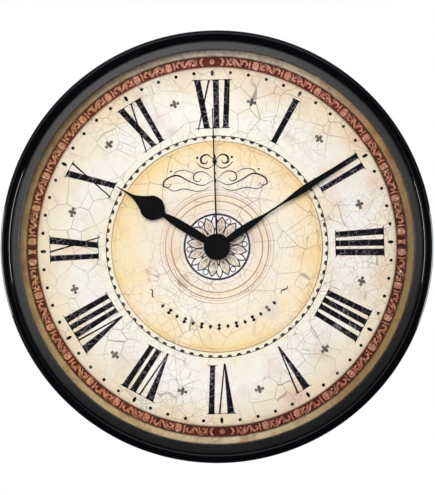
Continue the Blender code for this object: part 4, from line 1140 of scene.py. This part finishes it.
def minute_marks():
    """Round dots on the minutes and pointed ovals on the hours."""
    oval = []
    for step in range(OVAL_SIDES):
        turn = 2 * math.pi * step / OVAL_SIDES
        lift = math.cos(turn)
        along = OVAL_HALF_LENGTH * math.copysign(abs(lift) ** OVAL_POINTEDNESS, lift)
        oval.append((OVAL_HALF_WIDTH * math.sin(turn), along))
    dot = circle_outline(DOT_RADIUS, DOT_SIDES)
    outlines = []
    for minute in range(60):
        shape, radius = (dot, DOT_RING_R) if minute % 5 else (oval, OVAL_RING_R)
        outlines.append([on_dial(radius, 6.0 * minute, x, y) for x, y in shape])
    print_layer("dial_minute_marks", outlines, "dial_ink", 1)


def fleurs():
    """Small cross ornaments between the hours: a bar with round ends, a finial and a tail."""
    outlines = []
    for index in range(12):
        for shape in (FLEUR_BAR, FLEUR_FINIAL, FLEUR_TAIL):
            outlines.append(placed(shape, 15.0 + 30.0 * index, FLEUR_RING_R))
    print_layer("dial_fleurs", outlines, "grey_ink")


def rope_track():
    """Ring of half-round blocks hanging inwards from a thin line."""
    block = []
    for step in range(BLOCK_SIDES + 1):
        turn = math.pi * step / BLOCK_SIDES
        block.append((-BLOCK_HALF_WIDTH * math.cos(turn), -BLOCK_DROP * math.sin(turn) ** BLOCK_ROUNDNESS))
    outlines = ring_outlines(TRACK_LINE_R, TRACK_LINE_WIDTH)
    for index in range(TRACK_BLOCKS):
        outlines.append([on_dial(TRACK_LINE_R, 360.0 * index / TRACK_BLOCKS, x, y) for x, y in block])
    print_layer("dial_rope_track", outlines, "soft_black_ink")


def on_band(shape, centre, side=1):
    """A shape of the border: x away from 12 or 6 along the band, y outwards from its inner edge."""
    return [on_dial(BAND_INNER_R, centre + side * math.degrees(x * MM / BAND_MIDDLE_R), 0.0, y * MM)
            for x, y in shape]


def hook_strokes():
    """One repeat of the running scroll: a hook, its tail, a second hook and small leaves."""
    return [spiral_stroke(*FIRST_HOOK), HOOK_TAIL, spiral_stroke(*SECOND_HOOK), *HOOK_LEAVES]


def border_band():
    """Scrolls and egg blocks of the border, mirrored about 12 and 6, with a pearl on each."""
    scrolls, eggs, shades, pearls = [], [], [], []
    for centre in (0.0, 180.0):
        for side in (-1, 1):
            for index in range(BAND_REPEATS):
                start = centre + side * (BAND_LEAD + BAND_PITCH * index)
                scrolls += [on_band(ribbon(*stroke), start, side) for stroke in hook_strokes()]
                eggs.append(on_band(EGG, start + side * BAND_PITCH, side))
                shades.append(on_band(EGG_SHADE, start + side * BAND_PITCH, side))
    for centre in (0.0, 180.0):
        pearls.append(on_band(circle_outline(BAND_PEARL, PEARL_SIDES, (0.0, BAND_MIDDLE)), centre))
        scrolls += [on_band(ribbon(*PEARL_BRACE), centre, side) for side in (-1, 1)]
    eggs += [on_band(BAND_POST, centre) for centre in (90.0, 270.0)]
    print_layer("dial_border_scrolls", scrolls, "scroll_ink")
    print_layer("dial_border_eggs", eggs, "egg_ink")
    print_layer("dial_border_shades", shades, "rust_ink", 1)
    print_layer("dial_border_pearls", pearls, "egg_ink", 1)


def mirrored(right_side):
    """A closed shape from its right side, listed from the bottom to the top."""
    return right_side + [(-x, y) for x, y in reversed(right_side) if x > 0.001]


def almond(inner, outer, half, belly=0.55, steps=8):
    """A pointed leaf between two radii, widest at the belly share."""
    side = [(0.0, inner)]
    for step in range(1, steps):
        t = step / steps
        swell = math.sin(math.pi * t ** (math.log(0.5) / math.log(belly)))
        side.append((half * swell ** 0.9, inner + (outer - inner) * t))
    return mirrored(side + [(0.0, outer)])


def rosette():
    """Six pairs of petals with a pearl between the tips of each pair, slim leaves, and a ring."""
    ground = [on_dial(0.0, 6.0 * step, 0.0, ROSETTE_GROUND_R) for step in range(60)]
    edges, fills, leaves, veins, rims, pearls = [], [], [], [], [], []
    for index in range(ROSETTE_PAIRS):
        turn = 360 / ROSETTE_PAIRS * index
        pair, between = PAIR_ANGLE + turn, LEAF_ANGLE + turn
        edges.append(placed(almond(*LEAF_EDGE), between))
        leaves.append(placed(almond(*LEAF), between))
        for petal in (pair - PETAL_LEAN, pair + PETAL_LEAN):
            edges.append(placed(almond(*PETAL_EDGE), petal))
            fills.append(placed(almond(*PETAL), petal))
            veins += [placed(vein, petal) for vein in LEAF_VEINS]
        rims.append(placed(circle_outline(PEARL_RIM, PEARL_SIDES, PEARL_PLACE), pair))
        pearls.append(placed(circle_outline(PEARL, PEARL_SIDES, PEARL_PLACE), pair))
    print_layer("rosette_ground", [ground], "pearl_ink")
    print_layer("rosette_edges", edges, "plum_ink", 1)
    print_layer("rosette_petals", fills, "petal_ink", 2)
    print_layer("rosette_leaves", leaves, "cream_ink", 2)
    print_layer("rosette_veins", veins, "brown_ink", 3)
    print_layer("rosette_rims", rims, "plum_ink", 3)
    print_layer("rosette_pearls", pearls, "pearl_ink", 4)
    print_layer("rosette_ring", ring_outlines(ROSETTE_R, ROSETTE_RING_WIDTH), "plum_ink", 4)


def swash(points, thick):
    """A pen stroke through the points, thin at both ends."""
    smooth = smooth_line(points, PEN_STEPS)
    count = len(smooth) - 1
    widths = [PEN_THIN + (thick - PEN_THIN) * math.sin(math.pi * index / count)
              for index in range(len(smooth))]
    return ribbon(smooth, widths)


def flourishes():
    """Pen scrolls above the centre, and lozenges between two swashes round the lower half."""
    strokes = []
    for side in (-1, 1):
        for points, thick in PEN_STROKES:
            strokes.append(placed(swash([(side * x, y) for x, y in points], thick)))
        for x, y, size in PEN_DOTS:
            strokes.append(placed(circle_outline(size, PEN_DOT_SIDES, (side * x, y))))
    strokes += [placed(mirrored(shape)) for shape in PEN_DROPS]
    for index in range(-7, 8):
        shape = SMALL_LOZENGE if index % 2 else LARGE_LOZENGE
        strokes.append(placed(mirrored(shape), 180.0 + LOZENGE_PITCH * index))
    for side in (-1, 1):
        strokes.append(placed(swash(TILDE, TILDE_THICKNESS), 180.0 + side * TILDE_ANGLE, TILDE_RING_R))
    print_layer("dial_flourishes", strokes, "dial_ink")


# ------------------------------------------------------------------ set-up of the stage
def camera():
    data = bpy.data.cameras.new("camera")
    data.sensor_width = SENSOR_WIDTH
    data.lens = CAMERA_LENS
    data.clip_end = CAMERA_REACH
    made = bpy.data.objects.new("camera", data)
    made.location = CAMERA_PLACE
    made.rotation_euler = (math.pi / 2, 0.0, 0.0)
    bpy.context.scene.collection.objects.link(made)
    bpy.context.scene.camera = made


def lights():
    for name, place, width, height, power, in_gloss in SOFTBOXES:
        data = bpy.data.lights.new(name, "AREA")
        data.shape = "RECTANGLE"
        data.size = width
        data.size_y = height
        data.energy = power
        made = bpy.data.objects.new(name, data)
        made.location = place
        made.rotation_euler = (-Vector(place)).to_track_quat("-Z", "Y").to_euler()
        made.visible_glossy = in_gloss
        made.visible_transmission = in_gloss
        bpy.context.scene.collection.objects.link(made)


def surroundings():
    """White to the camera; a dim room, lighter behind the clock, to everything else."""
    world = bpy.data.worlds.new("studio")
    bpy.context.scene.world = world
    world.use_nodes = True
    nodes, links = world.node_tree.nodes, world.node_tree.links
    background = nodes["Background"]
    coords = nodes.new("ShaderNodeTexCoord")
    split = nodes.new("ShaderNodeSeparateXYZ")
    links.new(coords.outputs["Generated"], split.inputs[0])
    depth = nodes.new("ShaderNodeMapRange")
    for socket, value in zip(depth.inputs[1:5], ROOM_Y + ROOM_STRENGTH):
        socket.default_value = value
    links.new(split.outputs["Y"], depth.inputs[0])
    path = nodes.new("ShaderNodeLightPath")
    strength = nodes.new("ShaderNodeMix")
    links.new(path.outputs["Is Camera Ray"], strength.inputs[0])
    links.new(depth.outputs[0], strength.inputs[2])
    strength.inputs[3].default_value = 1.0
    links.new(strength.outputs[0], background.inputs["Strength"])
    background.inputs["Color"].default_value = (1.0, 1.0, 1.0, 1.0)


def floor():
    """Evenly pale floor that lights nothing."""
    mesh = bpy.data.meshes.new("floor")
    mesh.from_pydata(FLOOR_CORNERS, [], [(0, 1, 2, 3)])
    made = bpy.data.objects.new("floor", mesh)
    bpy.context.scene.collection.objects.link(made)
    m = Shader("floor", (0.8, 0.8, 0.8, 1.0), 0.7)
    m.set("Base Color", m.mix(m.noise(3), (0.10, 0.10, 0.10, 1.0), (0.12, 0.12, 0.12, 1.0)))
    m.set("Emission Color", (1.0, 1.0, 1.0, 1.0))
    m.set("Emission Strength", FLOOR_GLOW)
    mesh.materials.append(m.material)
    made.visible_glossy = False
    made.visible_diffuse = False


# ------------------------------------------------------------------ CAD nodes that are shown as they are
def finish_nodes():
    """Finish, welded corners and broken edges for every node that no finer piece stands for."""
    for part in frame["record"]["subparts"]:
        obj = frame["nodes"][part["node"]]
        mesh = obj.data
        mesh.materials.clear()
        mesh.materials.append(MATERIALS[part["material_slot"]])
        if obj.hide_render:
            continue
        if "custom_normal" in mesh.attributes:
            mesh.attributes.remove(mesh.attributes["custom_normal"])
        weld_modifier = obj.modifiers.new("weld", "WELD")
        weld_modifier.merge_threshold = NODE_MERGE
        break_edges(obj, BEVELS.get(part["node"], SMALL_BEVEL), NODE_BEVEL_ANGLE)
        for polygon in mesh.polygons:
            polygon.use_smooth = False


bpy.context.scene.view_settings.view_transform = "Standard"
MATERIALS = make_materials()
bezel_pieces()
lens_piece()
flat_ring("spacer_ring", "spacer_black", "dial_spacer_ring", SPACER_INNER_R, SPACER_HIGH.x,
          SPACER_LOW.y, SPACER_HIGH.y, SPACER_ROUNDING)
flat_ring("dial_sheet", "dial_print", "dial_plate", DIAL_HOLE_R, DIAL_RADIUS, DIAL_LOW.y, DIAL_HIGH.y,
          DIAL_ROUNDING)
rear_case_piece()
hands()
numerals()
minute_marks()
fleurs()
rope_track()
border_band()
rosette()
flourishes()
finish_nodes()
camera()
lights()
surroundings()
floor()
